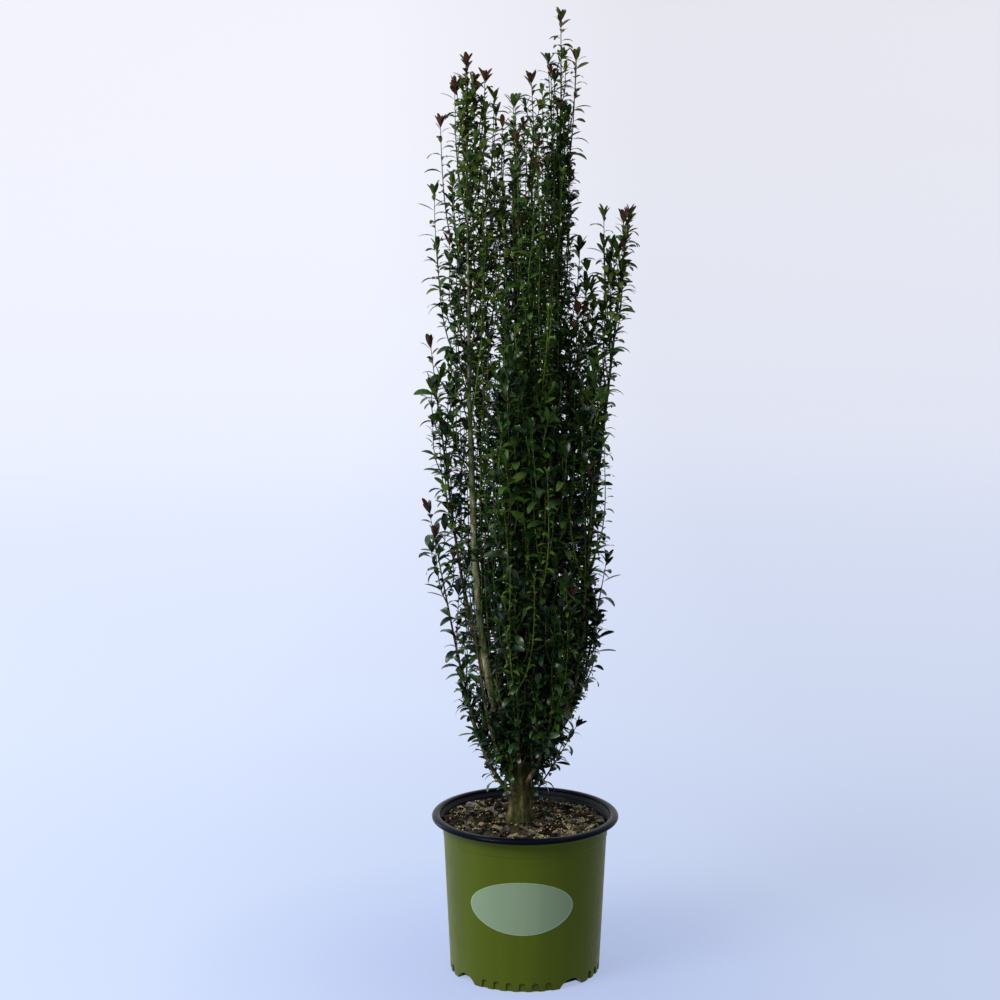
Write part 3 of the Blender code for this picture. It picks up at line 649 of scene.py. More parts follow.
def build_pot_wall():
    """The green outer layer of the wall, with its faint band, its flutes and drain notches."""
    pot = pot_settings()
    top, mouth = wall_top(), mouth_foot()
    band = mouth - pot.band_height
    skin = pot.skin_thickness
    foot = pot.foot_height
    outline = [
        (pot.mouth_radius - skin, top),
        (pot.mouth_radius, top),
        (wall_radius(mouth) + pot.band_step + EASE, mouth),
        (wall_radius(band) + pot.band_step, band + 2.0 * EASE),
        (wall_radius(band), band - EASE),
        (pot.base_radius + FOOT_EASE, FOOT_EASE_HEIGHT),
        (pot.base_radius, 0.0),
        (pot.base_radius - pot.foot_thickness, 0.0),
        (wall_radius(foot) - pot.foot_thickness, foot),
        (wall_radius(foot) - skin, foot + FOOT_RUN_OUT),
        (wall_radius(mouth) - skin, mouth),
    ]
    shape = turned(rounded(outline, CORNER_RADIUS, 3), 192, closed=True)
    mesh = mesh_from(shape, "pot_wall", MOULDED_ANGLE)
    finish = plastic_material("olive_plastic", pot.green, roughness=0.42, mottle=0.10, gloss=0.16)
    piece = add_piece("pot_wall", mesh, finish, ["pot"])
    cut_away(piece, notch_cutter(), flute_cutter())
    return piece


def build_pot_lining():
    """The dark inside of the pot: its floor, wall and the ridge inside its mouth."""
    pot = pot_settings()
    floor = pot.floor_thickness
    core = pot.wall_thickness - pot.skin_thickness - LINING_CLEAR
    top, mouth = wall_top(), mouth_foot()
    ridge = mouth + RIDGE_SHARE * pot.mouth_height
    foot = pot.foot_height
    clear = pot.foot_thickness - pot.wall_thickness + LINING_CLEAR
    run_out = foot + FOOT_RUN_OUT
    edge = top - 0.5 * EASE
    outline = [
        (0.0, floor),
        (inner_radius(floor) - clear, floor),
        (inner_radius(foot) - clear, foot),
        (inner_radius(run_out), run_out),
        (inner_radius(mouth), mouth),
        (inner_radius(ridge - RIDGE_HALF_HEIGHT), ridge - RIDGE_HALF_HEIGHT),
        (inner_radius(ridge) - RIDGE_DEPTH, ridge),
        (inner_radius(ridge + RIDGE_HALF_HEIGHT), ridge + RIDGE_HALF_HEIGHT),
        (inner_radius(top), edge),
        (inner_radius(top) + core, edge),
        (inner_radius(mouth) + core, mouth),
        (inner_radius(run_out) + core, run_out),
        (inner_radius(foot) - clear + core, foot),
        (inner_radius(0.0) - clear + core, EASE),
        (0.0, EASE),
    ]
    mesh = mesh_from(turned(outline, 128), "pot_lining", MOULDED_ANGLE)
    finish = plastic_material("lining_plastic", pot.lining_grey, roughness=0.50, mottle=0.20, gloss=0.12)
    piece = add_piece("pot_lining", mesh, finish, ["pot"])
    cut_away(piece, notch_cutter())
    return piece


# The round cutters of the pot's foot, and how many of each there are
ARCH_SEGMENTS = 28
NOTCH_COUNT = 4
FLUTES_BETWEEN_NOTCHES = 6


def arch(shape, angle, radius, drop, height, depth):
    """Adds a round-topped block that cuts into the wall's foot, its lower half let down by drop."""
    pot = pot_settings()
    outward = Vector((math.cos(angle), math.sin(angle), 0.0))
    centre = outward * pot.base_radius + Vector((0.0, 0.0, height))
    turn = outward.to_track_quat("Z", "Y").to_matrix().to_4x4()
    made = bmesh.ops.create_cone(
        shape, cap_ends=True, segments=ARCH_SEGMENTS, radius1=radius, radius2=radius,
        depth=2.0 * depth, matrix=Matrix.Translation(centre) @ turn,
    )
    for vert in made["verts"]:
        if vert.co.z < height - 0.0001:
            vert.co.z -= drop


def notch_cutter():
    """The four drain notches as one cutter."""
    pot = pot_settings()
    shape = bmesh.new()
    for n in range(NOTCH_COUNT):
        angle = pot.notch_angle + n * math.pi / 2.0
        arch(shape, angle, pot.notch_radius, 0.0, -pot.notch_drop, pot.notch_depth)
    return mesh_from(shape, "notch_cutter")


def flute_cutter():
    """The shallow flutes as one cutter: six between each two drain notches."""
    pot = pot_settings()
    shape = bmesh.new()
    half = 0.5 * pot.flute_width
    middle = 0.5 * (FLUTES_BETWEEN_NOTCHES - 1)
    for side in range(NOTCH_COUNT):
        for n in range(FLUTES_BETWEEN_NOTCHES):
            angle = pot.notch_angle + math.pi / 2.0 * (side + 0.5) + pot.flute_pitch * (n - middle)
            arch(shape, angle, half, pot.flute_height, pot.flute_height - half, pot.flute_depth)
    return mesh_from(shape, "flute_cutter")


def cut_away(piece, *cutters):
    """Cuts each cutter mesh out of the piece."""
    for cutter in cutters:
        holder = bpy.data.objects.new(cutter.name, cutter)
        bpy.context.scene.collection.objects.link(holder)
        cut = piece.modifiers.new("cut", "BOOLEAN")
        cut.operation = "DIFFERENCE"
        cut.object = holder
        cut.solver = "EXACT"
        graph = bpy.context.evaluated_depsgraph_get()
        mesh = bpy.data.meshes.new_from_object(piece.evaluated_get(graph))
        piece.modifiers.clear()
        piece.data = mesh
        bpy.data.objects.remove(holder)
    piece.data.set_sharp_from_angle(angle=math.radians(MOULDED_ANGLE))


# The rim's highlights are bluish
BLUE_GLOSS = (0.50, 0.66, 1.0)


def build_pot_rim():
    """The blue-black rolled lip over the wall's top edge."""
    pot = pot_settings()
    top = pot.height
    inner, outer = pot.rim_inner_radius, pot.rim_radius
    low = top - pot.rim_height
    outline = [
        (inner, top - 0.0040),
        (inner, top - 0.0018),
        (inner + 0.0022, top - 0.0002),
        (inner + 0.0050, top),
        (outer - 0.0032, top - 0.0006),
        (outer - 0.0008, top - 0.0026),
        (outer, low + 0.0030),
        (outer - 0.0006, low + 0.0006),
        (outer - 0.0020, low),
        (outer - 0.0030, low + 0.0008),
        (outer - 0.0036, top - 0.0044),
        (outer - 0.0060, top - 0.0030),
        (inner + 0.0040, top - 0.0030),
    ]
    shape = turned(rounded(outline, LIP_CORNER_RADIUS, 3), 192, closed=True)
    mesh = mesh_from(shape, "pot_lip", SOFT_ANGLE)
    finish = plastic_material("black_plastic", pot.rim_black, 0.21, 0.15, 0.060, BLUE_GLOSS)
    add_piece("pot_lip", mesh, finish, ["pot_rim"])


# The oval panel on the pot's front: its middle, and half its size
PANEL_RINGS = 28
PANEL_CENTRE_X = -0.0056
PANEL_CENTRE_Z = 0.1295
PANEL_HALF_WIDTH = 0.0750
PANEL_HALF_HEIGHT = 0.0410

# The line round the panel, as shares of the panel's size
LINE_INNER = 0.970
LINE_OUTER = 0.995

# How far the panel and its line stand off the wall, and their thickness inward
PANEL_LIFT = 0.00015
PANEL_THICKNESS = 0.0005
LINE_LIFT = 0.00035
LINE_THICKNESS = 0.0003


def panel_mesh(name, inner, outer, lift):
    """An oval ring between two shares of the panel's size, bent round the pot's wall."""
    shape = bmesh.new()
    shares = np.linspace(inner, outer, PANEL_RINGS)
    verts = [shape.verts.new((share, 0.0, 0.0)) for share in shares]
    edges = [shape.edges.new(pair) for pair in zip(verts, verts[1:])]
    bmesh.ops.spin(
        shape, geom=verts + edges, cent=(0, 0, 0), axis=(0, 0, 1), dvec=(0, 0, 0),
        angle=2.0 * math.pi, steps=120, use_merge=True, use_duplicate=False,
    )
    bmesh.ops.remove_doubles(shape, verts=shape.verts, dist=0.00001)
    for vert in shape.verts:
        x = PANEL_CENTRE_X + vert.co.x * PANEL_HALF_WIDTH
        z = PANEL_CENTRE_Z + vert.co.y * PANEL_HALF_HEIGHT
        radius = wall_radius(z) + lift
        vert.co = (x, -math.sqrt(radius ** 2 - x ** 2), z)
    bmesh.ops.recalc_face_normals(shape, faces=shape.faces)
    facing = sum((face.normal.y * face.calc_area() for face in shape.faces), 0.0)
    if facing > 0.0:
        bmesh.ops.reverse_faces(shape, faces=shape.faces)
    return mesh_from(shape, name, MOULDED_ANGLE)


def build_panel():
    """The bare sage oval on the pot's front, and the thin line round it."""
    pot = pot_settings()
    sage = plastic_material("sage_print", pot.panel_sage, 0.46, 0.05)
    panel = add_piece("oval_panel", panel_mesh("oval_panel", 0.0, 1.0, PANEL_LIFT), sage)
    line_tint = plastic_material("pale_line", times(pot.panel_sage, 1.25), 0.46, 0.04)
    ring = panel_mesh("oval_line", LINE_INNER, LINE_OUTER, LINE_LIFT)
    line = add_piece("oval_line", ring, line_tint)
    for piece, thickness in ((panel, PANEL_THICKNESS), (line, LINE_THICKNESS)):
        solid = piece.modifiers.new("thickness", "SOLIDIFY")
        solid.thickness = thickness
        solid.offset = -1.0


# Potting mix

# Kinds of bark chip: their colour, and their share of all chips
CHIP_TINTS = {
    "chips_dark": ((0.0034, 0.0030, 0.0020), 0.42),
    "chips_brown": ((0.030, 0.021, 0.011), 0.27),
    "chips_olive": ((0.044, 0.039, 0.016), 0.13),
    "chips_tan": ((0.190, 0.142, 0.095), 0.07),
    "chips_grey": ((0.105, 0.100, 0.090), 0.07),
    "chips_red": ((0.032, 0.014, 0.009), 0.06),
}
CHIP_COUNT = 2100
CHIP_SHAPES = 10

# The prills lie in patches; outside these most of them are left out
PRILL_COUNT = 1300
PRILL_PATCHES = 9
PRILL_PATCH_RADIUS = 0.026
PRILL_PATCH_SHARE = 0.6
PRILL_TAN = (0.33, 0.31, 0.15)

LITTER_COUNT = 46
LITTER_BROWN = (0.16, 0.11, 0.065)

# How far the mix keeps off the wall, at its surface and below
MIX_CLEAR = 0.0002
MIX_CLEAR_BELOW = 0.0003

# How much higher the mix lies against the wall at the front left than at the back right
SOIL_BANK = 0.012


def soil_height(x, y):
    """Height of the mix's surface, heaped round the trunk and a little uneven."""
    pot = pot_settings()
    edge = inner_radius(pot.height - pot.soil_drop)
    share = min(1.0, math.hypot(x - TRUNK_FOOT_X, y) / edge)
    heap = pot.soil_heap * (1.0 - share) ** 1.2
    uneven = 0.0022 * noise.noise(Vector((x, y, 0.0)) * 45.0)
    banked = SOIL_BANK * share ** 2 * max(0.0, 0.5 - 0.5 * (0.75 * y + 0.66 * x) / edge)
    return pot.height - pot.soil_drop + heap + uneven + banked - 0.0010


def array_of(shape):
    """The bmesh's corners and faces as arrays."""
    shape.verts.index_update()
    corners = np.array([vert.co for vert in shape.verts])
    faces = [tuple(vert.index for vert in face.verts) for face in shape.faces]
    shape.free()
    return corners, faces


def chip_shapes(rng, count):
    """Bark chips: split, bent slabs with uneven edges."""
    made = []
    for _ in range(count):
        shape = bmesh.new()
        bmesh.ops.create_cube(shape, size=1.0)
        bmesh.ops.subdivide_edges(shape, edges=shape.edges, cuts=1, use_grid_fill=True)
        bend = rng.uniform(-0.25, 0.35)
        for vert in shape.verts:
            taper = 1.0 - rng.uniform(0.15, 0.45) * (vert.co.x + 0.5)
            vert.co.y *= taper
            vert.co.z += bend * vert.co.x ** 2
            vert.co += Vector([rng.uniform(-0.10, 0.10) for _ in range(3)])
        made.append(array_of(shape))
    return made


def joined_copies(name, shapes, placements, smooth=False):
    """One mesh of many copies, from (which shape, 3 x 3 turn and size, place) placements."""
    corners, faces, start = [], [], 0
    for which, matrix, place in placements:
        points, sides = shapes[which]
        corners.append(points @ matrix.T + place)
        faces.extend(tuple(corner + start for corner in side) for side in sides)
        start += len(points)
    mesh = bpy.data.meshes.new(name)
    mesh.from_pydata(np.concatenate(corners).tolist(), [], faces)
    if smooth:
        mesh.shade_smooth()
    mesh.update()
    return mesh


def loose_place(rng, radius_limit):
    """A place on the mix between the trunk and the wall."""
    while True:
        radius = radius_limit * math.sqrt(rng.uniform(0.0, 1.0))
        angle = rng.uniform(0.0, 2.0 * math.pi)
        x, y = radius * math.cos(angle), radius * math.sin(angle)
        if math.hypot(x - TRUNK_FOOT_X, y) > TRUNK_RADIUS + 0.003:
            return x, y


def mix_edge():
    """Radius of the mix's surface where it meets the wall."""
    pot = pot_settings()
    return inner_radius(pot.height - pot.soil_drop) - MIX_CLEAR


def build_mix_bed():
    """The mix's dark bed, from just over the pot's floor to its uneven surface."""
    pot = pot_settings()
    surface = pot.height - pot.soil_drop
    edge = mix_edge()
    outline = [(radius, surface) for radius in np.linspace(0.0, edge, 40)]
    foot = pot.foot_height + 0.005
    below = mouth_foot() - 0.001
    outline += [(inner_radius(height) - MIX_CLEAR_BELOW, height) for height in (below, foot)]
    outline.append((0.0, foot))
    shape = turned(outline, 160)
    for vert in shape.verts:
        if vert.co.z > below + 0.0001:
            vert.co.z = soil_height(vert.co.x, vert.co.y)
            radius = math.hypot(vert.co.x, vert.co.y)
            if radius > 0.0:
                room = inner_radius(vert.co.z) - MIX_CLEAR - edge
                spread = 1.0 + room / edge * (radius / edge) ** 6
                vert.co.x *= spread
                vert.co.y *= spread
    mesh = mesh_from(shape, "potting_mix", SOFT_ANGLE)
    add_piece("potting_mix", mesh, chip_material("mix_fines", pot.soil_dark, 0.95), ["soil"])


def build_chips(rng, edge):
    """Bark chips of each kind that lie on the bed, tipped this way and that."""
    shapes = chip_shapes(rng, CHIP_SHAPES)
    placements = {name: [] for name in CHIP_TINTS}
    names = list(CHIP_TINTS)
    weights = [CHIP_TINTS[name][1] for name in names]
    for number in range(CHIP_COUNT):
        length = 0.0048 + 0.019 * rng.random() ** 2.3
        width = length * rng.uniform(0.28, 0.75)
        thickness = min(0.0034, length * rng.uniform(0.14, 0.30))
        x, y = loose_place(rng, edge - 0.3 * length)
        tilt = rng.gauss(0.0, 0.46)
        turn = Matrix.Rotation(rng.uniform(0.0, 2.0 * math.pi), 3, "Z") @ Matrix.Rotation(tilt, 3, "X")
        turn = turn @ Matrix.Rotation(rng.gauss(0.0, 0.25), 3, "Y")
        size = Matrix.Diagonal((length, width, thickness))
        place = np.array((x, y, soil_height(x, y) + rng.uniform(0.0, 0.0035)))
        name = rng.choices(names, weights)[0]
        placements[name].append((rng.randrange(len(shapes)), np.array(turn @ size), place))
    for name in names:
        tint = chip_material(name, CHIP_TINTS[name][0])
        add_piece(name, joined_copies(name, shapes, placements[name]), tint)


def build_prills(rng, edge):
    """Round slow release prills, mostly in loose patches."""
    shape = bmesh.new()
    bmesh.ops.create_icosphere(shape, subdivisions=1, radius=1.0)
    shapes = [array_of(shape)]
    placements = []
    patches = [loose_place(rng, 0.85 * edge) for _ in range(PRILL_PATCHES)]
    while len(placements) < PRILL_COUNT:
        radius = rng.uniform(0.0009, 0.0016)
        x, y = loose_place(rng, edge - 0.003)
        near = min(math.hypot(x - px, y - py) for px, py in patches) < PRILL_PATCH_RADIUS
        if not near and rng.random() < PRILL_PATCH_SHARE:
            continue
        place = np.array((x, y, soil_height(x, y) + rng.uniform(0.0012, 0.0052)))
        placements.append((0, np.eye(3) * radius, place))
    mesh = joined_copies("prills", shapes, placements, smooth=True)
    add_piece("prills", mesh, chip_material("prill_tan", PRILL_TAN, 0.55))


def build_litter(rng, edge):
    """Dead twigs and slivers that lie across the chips."""
    lines = []
    for _ in range(LITTER_COUNT):
        length = rng.uniform(0.014, 0.045)
        x, y = loose_place(rng, edge - 0.5 * length - 0.002)
        turn = rng.uniform(0.0, math.pi)
        points = []
        for share in (-0.5, -0.15, 0.2, 0.5):
            bend = 0.10 * length * math.sin(3.0 * share + turn)
            px = x + math.cos(turn) * share * length - math.sin(turn) * bend
            py = y + math.sin(turn) * share * length + math.cos(turn) * bend
            points.append(Vector((px, py, soil_height(px, py) + 0.0042)))
        lines.append((points, [rng.uniform(0.0005, 0.0011)] * 4))
    mesh = tubes("litter", lines, 1)
    add_piece("litter", mesh, chip_material("litter_brown", LITTER_BROWN))


def build_potting_mix():
    """The mix's bed, and on it the bark chips, the slow release prills and the litter."""
    rng = random.Random(plant_settings().seed + 500)
    edge = mix_edge()
    build_mix_bed()
    build_chips(rng, edge)
    build_prills(rng, edge)
    build_litter(rng, edge)


# Limbs: the same rule as in the part's source

def heading(turn):
    angle = math.radians(turn)
    return Vector((math.cos(angle), math.sin(angle), 0.0))


def trunk_point(height):
    share = (height - SOIL_TOP) / (TRUNK_FORK_HEIGHT - SOIL_TOP)
    return Vector((TRUNK_FOOT_X + (TRUNK_FORK_X - TRUNK_FOOT_X) * share, 0.0, height))


def trunk_radius(height):
    above = max(0.0, height - SOIL_TOP)
    share = above / (TRUNK_FORK_HEIGHT - SOIL_TOP)
    swell = (TRUNK_FORK_RADIUS - TRUNK_RADIUS) * share ** 2
    return TRUNK_RADIUS + swell + FLARE * math.exp(-above / FLARE_HEIGHT)


def end_radii(limb):
    """Radius where the limb forks off, and where its foliage starts."""
    if limb in LEADERS:
        return LEADER_RADII
    if limb in BRANCHES:
        return BRANCH_RADII
    return LOW_BOUGH_RADII if limb in LOW_BOUGHS else FOOT_SHOOT_RADII


def limb_foot(limb):
    """Where a limb's centre line starts, inside its parent."""
    if limb.parent == "trunk":
        return trunk_point(limb.foot) + heading(limb.turn) * FOOT_OFFSET_SHARE * TRUNK_RADIUS
    return limb_point(LIMB_OF[limb.parent], limb.foot)


def swung_out(foot, turn, knee, bend, lean, rise, sway_start=0.0):
    """The point of a limb that has risen by rise from its foot."""
    outward = heading(turn)
    sideways = heading(turn + 90.0)
    out = knee * (1.0 - math.exp(-rise / bend)) + lean * rise
    wave = 2.0 * math.pi * rise / SWAY_LENGTH
    swing = math.sin(wave + sway_start) - math.sin(sway_start)
    sway = SWAY * swing * min(1.0, rise / SWAY_LENGTH)
    return foot + outward * out + sideways * sway + Vector((0.0, 0.0, rise))


def limb_point(limb, height):
    rise = height - limb.foot
    sway_start = math.radians(limb.turn)
    return swung_out(limb_foot(limb), limb.turn, limb.knee, limb.bend, limb.lean, rise, sway_start)


def steps(low, high, pitch):
    count = max(1, round((high - low) / pitch))
    return [low + (high - low) * n / count for n in range(count + 1)]


def tubes(name, lines, resolution):
    """One mesh of tapering tubes, one along each (points, radii) line."""
    curve = bpy.data.curves.new(name, "CURVE")
    curve.dimensions = "3D"
    curve.bevel_depth = 1.0
    curve.bevel_resolution = resolution
    curve.use_fill_caps = True
    for points, radii in lines:
        spline = curve.splines.new("POLY")
        spline.points.add(len(points) - 1)
        for point, place, radius in zip(spline.points, points, radii):
            point.co = (*place, 1.0)
            point.radius = radius
    holder = bpy.data.objects.new(name, curve)
    bpy.context.scene.collection.objects.link(holder)
    graph = bpy.context.evaluated_depsgraph_get()
    mesh = bpy.data.meshes.new_from_object(holder.evaluated_get(graph))
    bpy.data.objects.remove(holder)
    bpy.data.curves.remove(curve)
    shape = bmesh.new()
    shape.from_mesh(mesh)
    bmesh.ops.remove_doubles(shape, verts=shape.verts, dist=0.0000005)
    bmesh.ops.recalc_face_normals(shape, faces=shape.faces)
    shape.to_mesh(mesh)
    shape.free()
    mesh.shade_smooth()
    mesh.set_sharp_from_angle(angle=math.radians(SOFT_ANGLE))
    mesh.name = name
    return mesh


def add_relief(mesh, axis_point, depth, fineness):
    """Bark relief: ridges along the limb, low knobs and fine unevenness."""
    for vert in mesh.vertices:
        centre = axis_point(vert.co.z)
        out = vert.co - centre
        out.z = 0.0
        if out.length < 0.0002:
            continue
        way = out.normalized()
        ridge = noise.noise(Vector((way.x * 2.6, way.y * 2.6, vert.co.z * 9.0)) * fineness)
        fine = noise.noise(vert.co * 210.0)
        knob = max(0.0, noise.noise(vert.co * 48.0 + Vector((7.0, 0.0, 0.0))) - 0.25)
        vert.co += way * depth * (0.55 * ridge + 0.30 * fine + 1.1 * knob)
    mesh.update()


def build_trunk(bark):
    """The trunk with its root flare, from just under the chips to its fork."""
    heights = steps(TRUNK_BARK_FROM, TRUNK_FORK_HEIGHT, 0.0013)
    points = [trunk_point(height) for height in heights]
    radii = [trunk_radius(height) for height in heights]
    mesh = tubes("trunk_bark", [(points, radii)], 44)
    for vert in mesh.vertices:
        centre = trunk_point(vert.co.z)
        angle = math.atan2(vert.co.y, vert.co.x - centre.x)
        fade = math.exp(-max(0.0, vert.co.z - SOIL_TOP) / FLARE_HEIGHT)
        swell = 1.0 + FLARE_LOBE_DEPTH * fade * math.cos(FLARE_LOBES * angle)
        vert.co.x = centre.x + (vert.co.x - centre.x) * swell
        vert.co.y *= swell
    add_relief(mesh, trunk_point, 0.0034, 2.4)
    add_piece("trunk_bark", mesh, bark, ["trunk"])


def build_boughs(bark, pale):
    """Each bough: swollen where it forks off, tapering to where its foliage starts."""
    for limb in BOUGHS:
        thick, thin = end_radii(limb)
        heights = steps(limb.foot, limb.tip + 0.002, 0.0055)
        points = [limb_point(limb, height) for height in heights]
        radii = []
        for height in heights:
            rise = height - limb.foot
            share = min(1.0, rise / (limb.tip - limb.foot))
            collar = 1.0 + 0.30 * math.exp(-rise / (2.2 * thick))
            radii.append((thick + (thin - thick) * share ** BOUGH_TAPER_POWER) * collar)
        mesh = tubes(f"bark_{limb.name}", [(points, radii)], 5)
        add_relief(mesh, lambda height, limb=limb: limb_point(limb, height), 0.16 * thick, 1.3)
        finish = pale if limb.name == BARE_LIMB else bark
        add_piece(f"bark_{limb.name}", mesh, finish, [f"bough_{limb.name}"])


# Foliage

# No joined piece of leaves gets more triangles than this
PIECE_TRIANGLES = 190000

# A leaf's outline: share of its length, share of its width
LEAF_OUTLINE = (
    (0.0, 0.12), (0.14, 0.42), (0.35, 0.86), (0.58, 1.0), (0.79, 0.88), (0.93, 0.56), (1.0, 0.20),
)
LEAF_ROWS = len(LEAF_OUTLINE) - 1
LEAF_COLUMNS = 2

# Size of the leaves on a shoot, against the usual leaf, inside the crown and at its outside
INNER_LEAVES = (0.62, 1.00)
OUTER_LEAVES = (0.84, 1.16)
OUTER_FROM = 0.62

# Leaves are larger low in the crown and smaller near its top
LARGE_LEAF = 1.20
SMALL_LEAF = 0.96
LARGE_LEAF_TO = 0.60
SMALL_LEAF_FROM = 1.25

# A leaf's angle off its shoot in degrees, and its size
LEAF_ANGLES = (42.0, 74.0)
LEAF_SIZES = (0.66, 1.18)

# How far down a shoot its leaves are still young, and how many sit on its very tip
YOUNG_STRETCH = 0.012
TIP_LEAVES = 4

# A spray's tint by how light it is, under each limit; the lightest are olive. The deep and dark tints are
# partly painted shade, the mid and olive ones partly painted light
TINT_LIMITS = ((0.38, "deep"), (0.54, "dark"), (0.74, "mid"))

# Sprays get lighter from this height on, up this stretch, as painted light towards the top
LIGHTER_FROM = 0.72
LIGHTER_STRETCH = 0.58

# How often a leaf is lighter than its spray, and its tint then
LIGHTER_CHANCE = 0.11
LIGHTER = {"deep": "dark", "dark": "mid", "mid": "olive"}

TINTS = ("deep", "dark", "mid", "olive", "fresh", "bronze")

# Roughness and gloss of the shaded tints, and of the others
SHADED_TINTS = ("deep", "dark")
SHADED_FINISH = (0.30, 0.36)
USUAL_FINISH = (0.38, 0.15)


def leaf_shape(curl, cup, slant):
    """One leaf, a unit long and a unit wide: narrow foot, blunt blade, arched over."""
    shape = bmesh.new()
    bmesh.ops.create_grid(shape, x_segments=LEAF_COLUMNS, y_segments=LEAF_ROWS, size=1.0)
    for vert in shape.verts:
        row = round((vert.co.y + 1.0) / 2.0 * LEAF_ROWS)
        along, blade = LEAF_OUTLINE[row]
        across = vert.co.x
        angle = curl * along ** 1.3 + 0.0001
        reach = math.sin(angle) / angle * along
        fall = (1.0 - math.cos(angle)) / angle * along
        lift = cup * across ** 2 * blade
        vert.co = (across * 0.5 * blade + slant * along ** 2, reach, lift - fall)
    bmesh.ops.recalc_face_normals(shape, faces=shape.faces)
    if sum(face.normal.z for face in shape.faces) < 0.0:
        bmesh.ops.reverse_faces(shape, faces=shape.faces)
    return array_of(shape)


def leaf_shapes():
    """Leaves with different curls, from nearly flat to strongly arched over."""
    curls = (16.0, 36.0, 58.0, 82.0)
    cups = (0.055, 0.040, 0.070, 0.050)
    slants = (0.04, -0.05, 0.06, -0.03)
    return [leaf_shape(math.radians(curl), cup, slant) for curl, cup, slant in zip(curls, cups, slants)]


# The left leader's stem is bare to the front between these heights
BARE_LIMB = "left_leader"
BARE_FROM = 0.40
BARE_TO = 1.10
BARE_HALF_WIDTH = 0.0090
BARE_SHARE = 0.90

# The trunk shows from the front below this height
TRUNK_SHOWN_TO = 0.325
TRUNK_SHOWN_HALF_WIDTH = 0.014


def hides_bare_stem(place):
    """Whether something there stands in front of the stem that shows."""
    if not BARE_FROM < place.z < BARE_TO:
        return False
    stem = limb_point(LIMB_OF[BARE_LIMB], place.z)
    return abs(place.x - stem.x) < BARE_HALF_WIDTH and place.y < stem.y


def hides_trunk(place):
    """Whether something there stands in front of the trunk."""
    if place.z > TRUNK_SHOWN_TO or place.y > 0.0:
        return False
    return abs(place.x - trunk_point(place.z).x) < TRUNK_SHOWN_HALF_WIDTH


class Growth:
    """Collects the shoots and leaves of the whole crown, each kind apart."""

    def __init__(self, seed):
        self.seed = seed
        self.chance = random.Random(seed + 77)
        self.leaves = {tint: [] for tint in TINTS}
        self.twigs = {"brown": [], "dull": [], "green": [], "pale": []}

    def add_leaf(self, tint, place, tangent, turn, angle, length, width, which, roll):
        side = heading(turn)
        side = (side - tangent * side.dot(tangent)).normalized()
        along = tangent * math.cos(angle) + side * math.sin(angle)
        up = tangent * math.sin(angle) - side * math.cos(angle)
        up.rotate(Matrix.Rotation(roll, 3, along))
        across = along.cross(up)
        middle = place + along * 0.5 * length
        if (hides_bare_stem(middle) or hides_trunk(middle)) and self.chance.random() < BARE_SHARE:
            return
        matrix = np.array((across * width, along * length, up * length)).T
        self.leaves[tint].append((which, matrix, np.array(place + side * 0.0006)))

    def add_shoot(self, kind, points, radii):
        self.twigs[kind].append((points, radii))


def path_lengths(points):
    lengths = [0.0]
    for start, end in zip(points, points[1:]):
        lengths.append(lengths[-1] + (end - start).length)
    return lengths


def point_along(points, lengths, distance):
    """The point that far along the path, and the path's direction there."""
    for n in range(len(points) - 1):
        if distance <= lengths[n + 1] or n == len(points) - 2:
            share = (distance - lengths[n]) / (lengths[n + 1] - lengths[n])
            stretch = points[n + 1] - points[n]
            return points[n] + stretch * share, stretch.normalized()
    return points[-1], (points[-1] - points[-2]).normalized()


def spray_tint(rng, height, outward):
    """The tint of a whole spray, the leaves' own green with painted light and shade: deep low and inside as
    painted shade, lighter towards the top and outside as painted light.
    """
    upper = max(0.0, min(1.0, (height - LIGHTER_FROM) / LIGHTER_STRETCH))
    light = 0.17 + 0.46 * upper + 0.24 * outward + rng.gauss(0.0, 0.15)
    for limit, tint in TINT_LIMITS:
        if light < limit:
            return tint
    return "olive"


def size_at(height):
    """How large the leaves are at the height, against the usual leaf."""
    share = (height - LARGE_LEAF_TO) / (SMALL_LEAF_FROM - LARGE_LEAF_TO)
    return LARGE_LEAF + (SMALL_LEAF - LARGE_LEAF) * max(0.0, min(1.0, share))


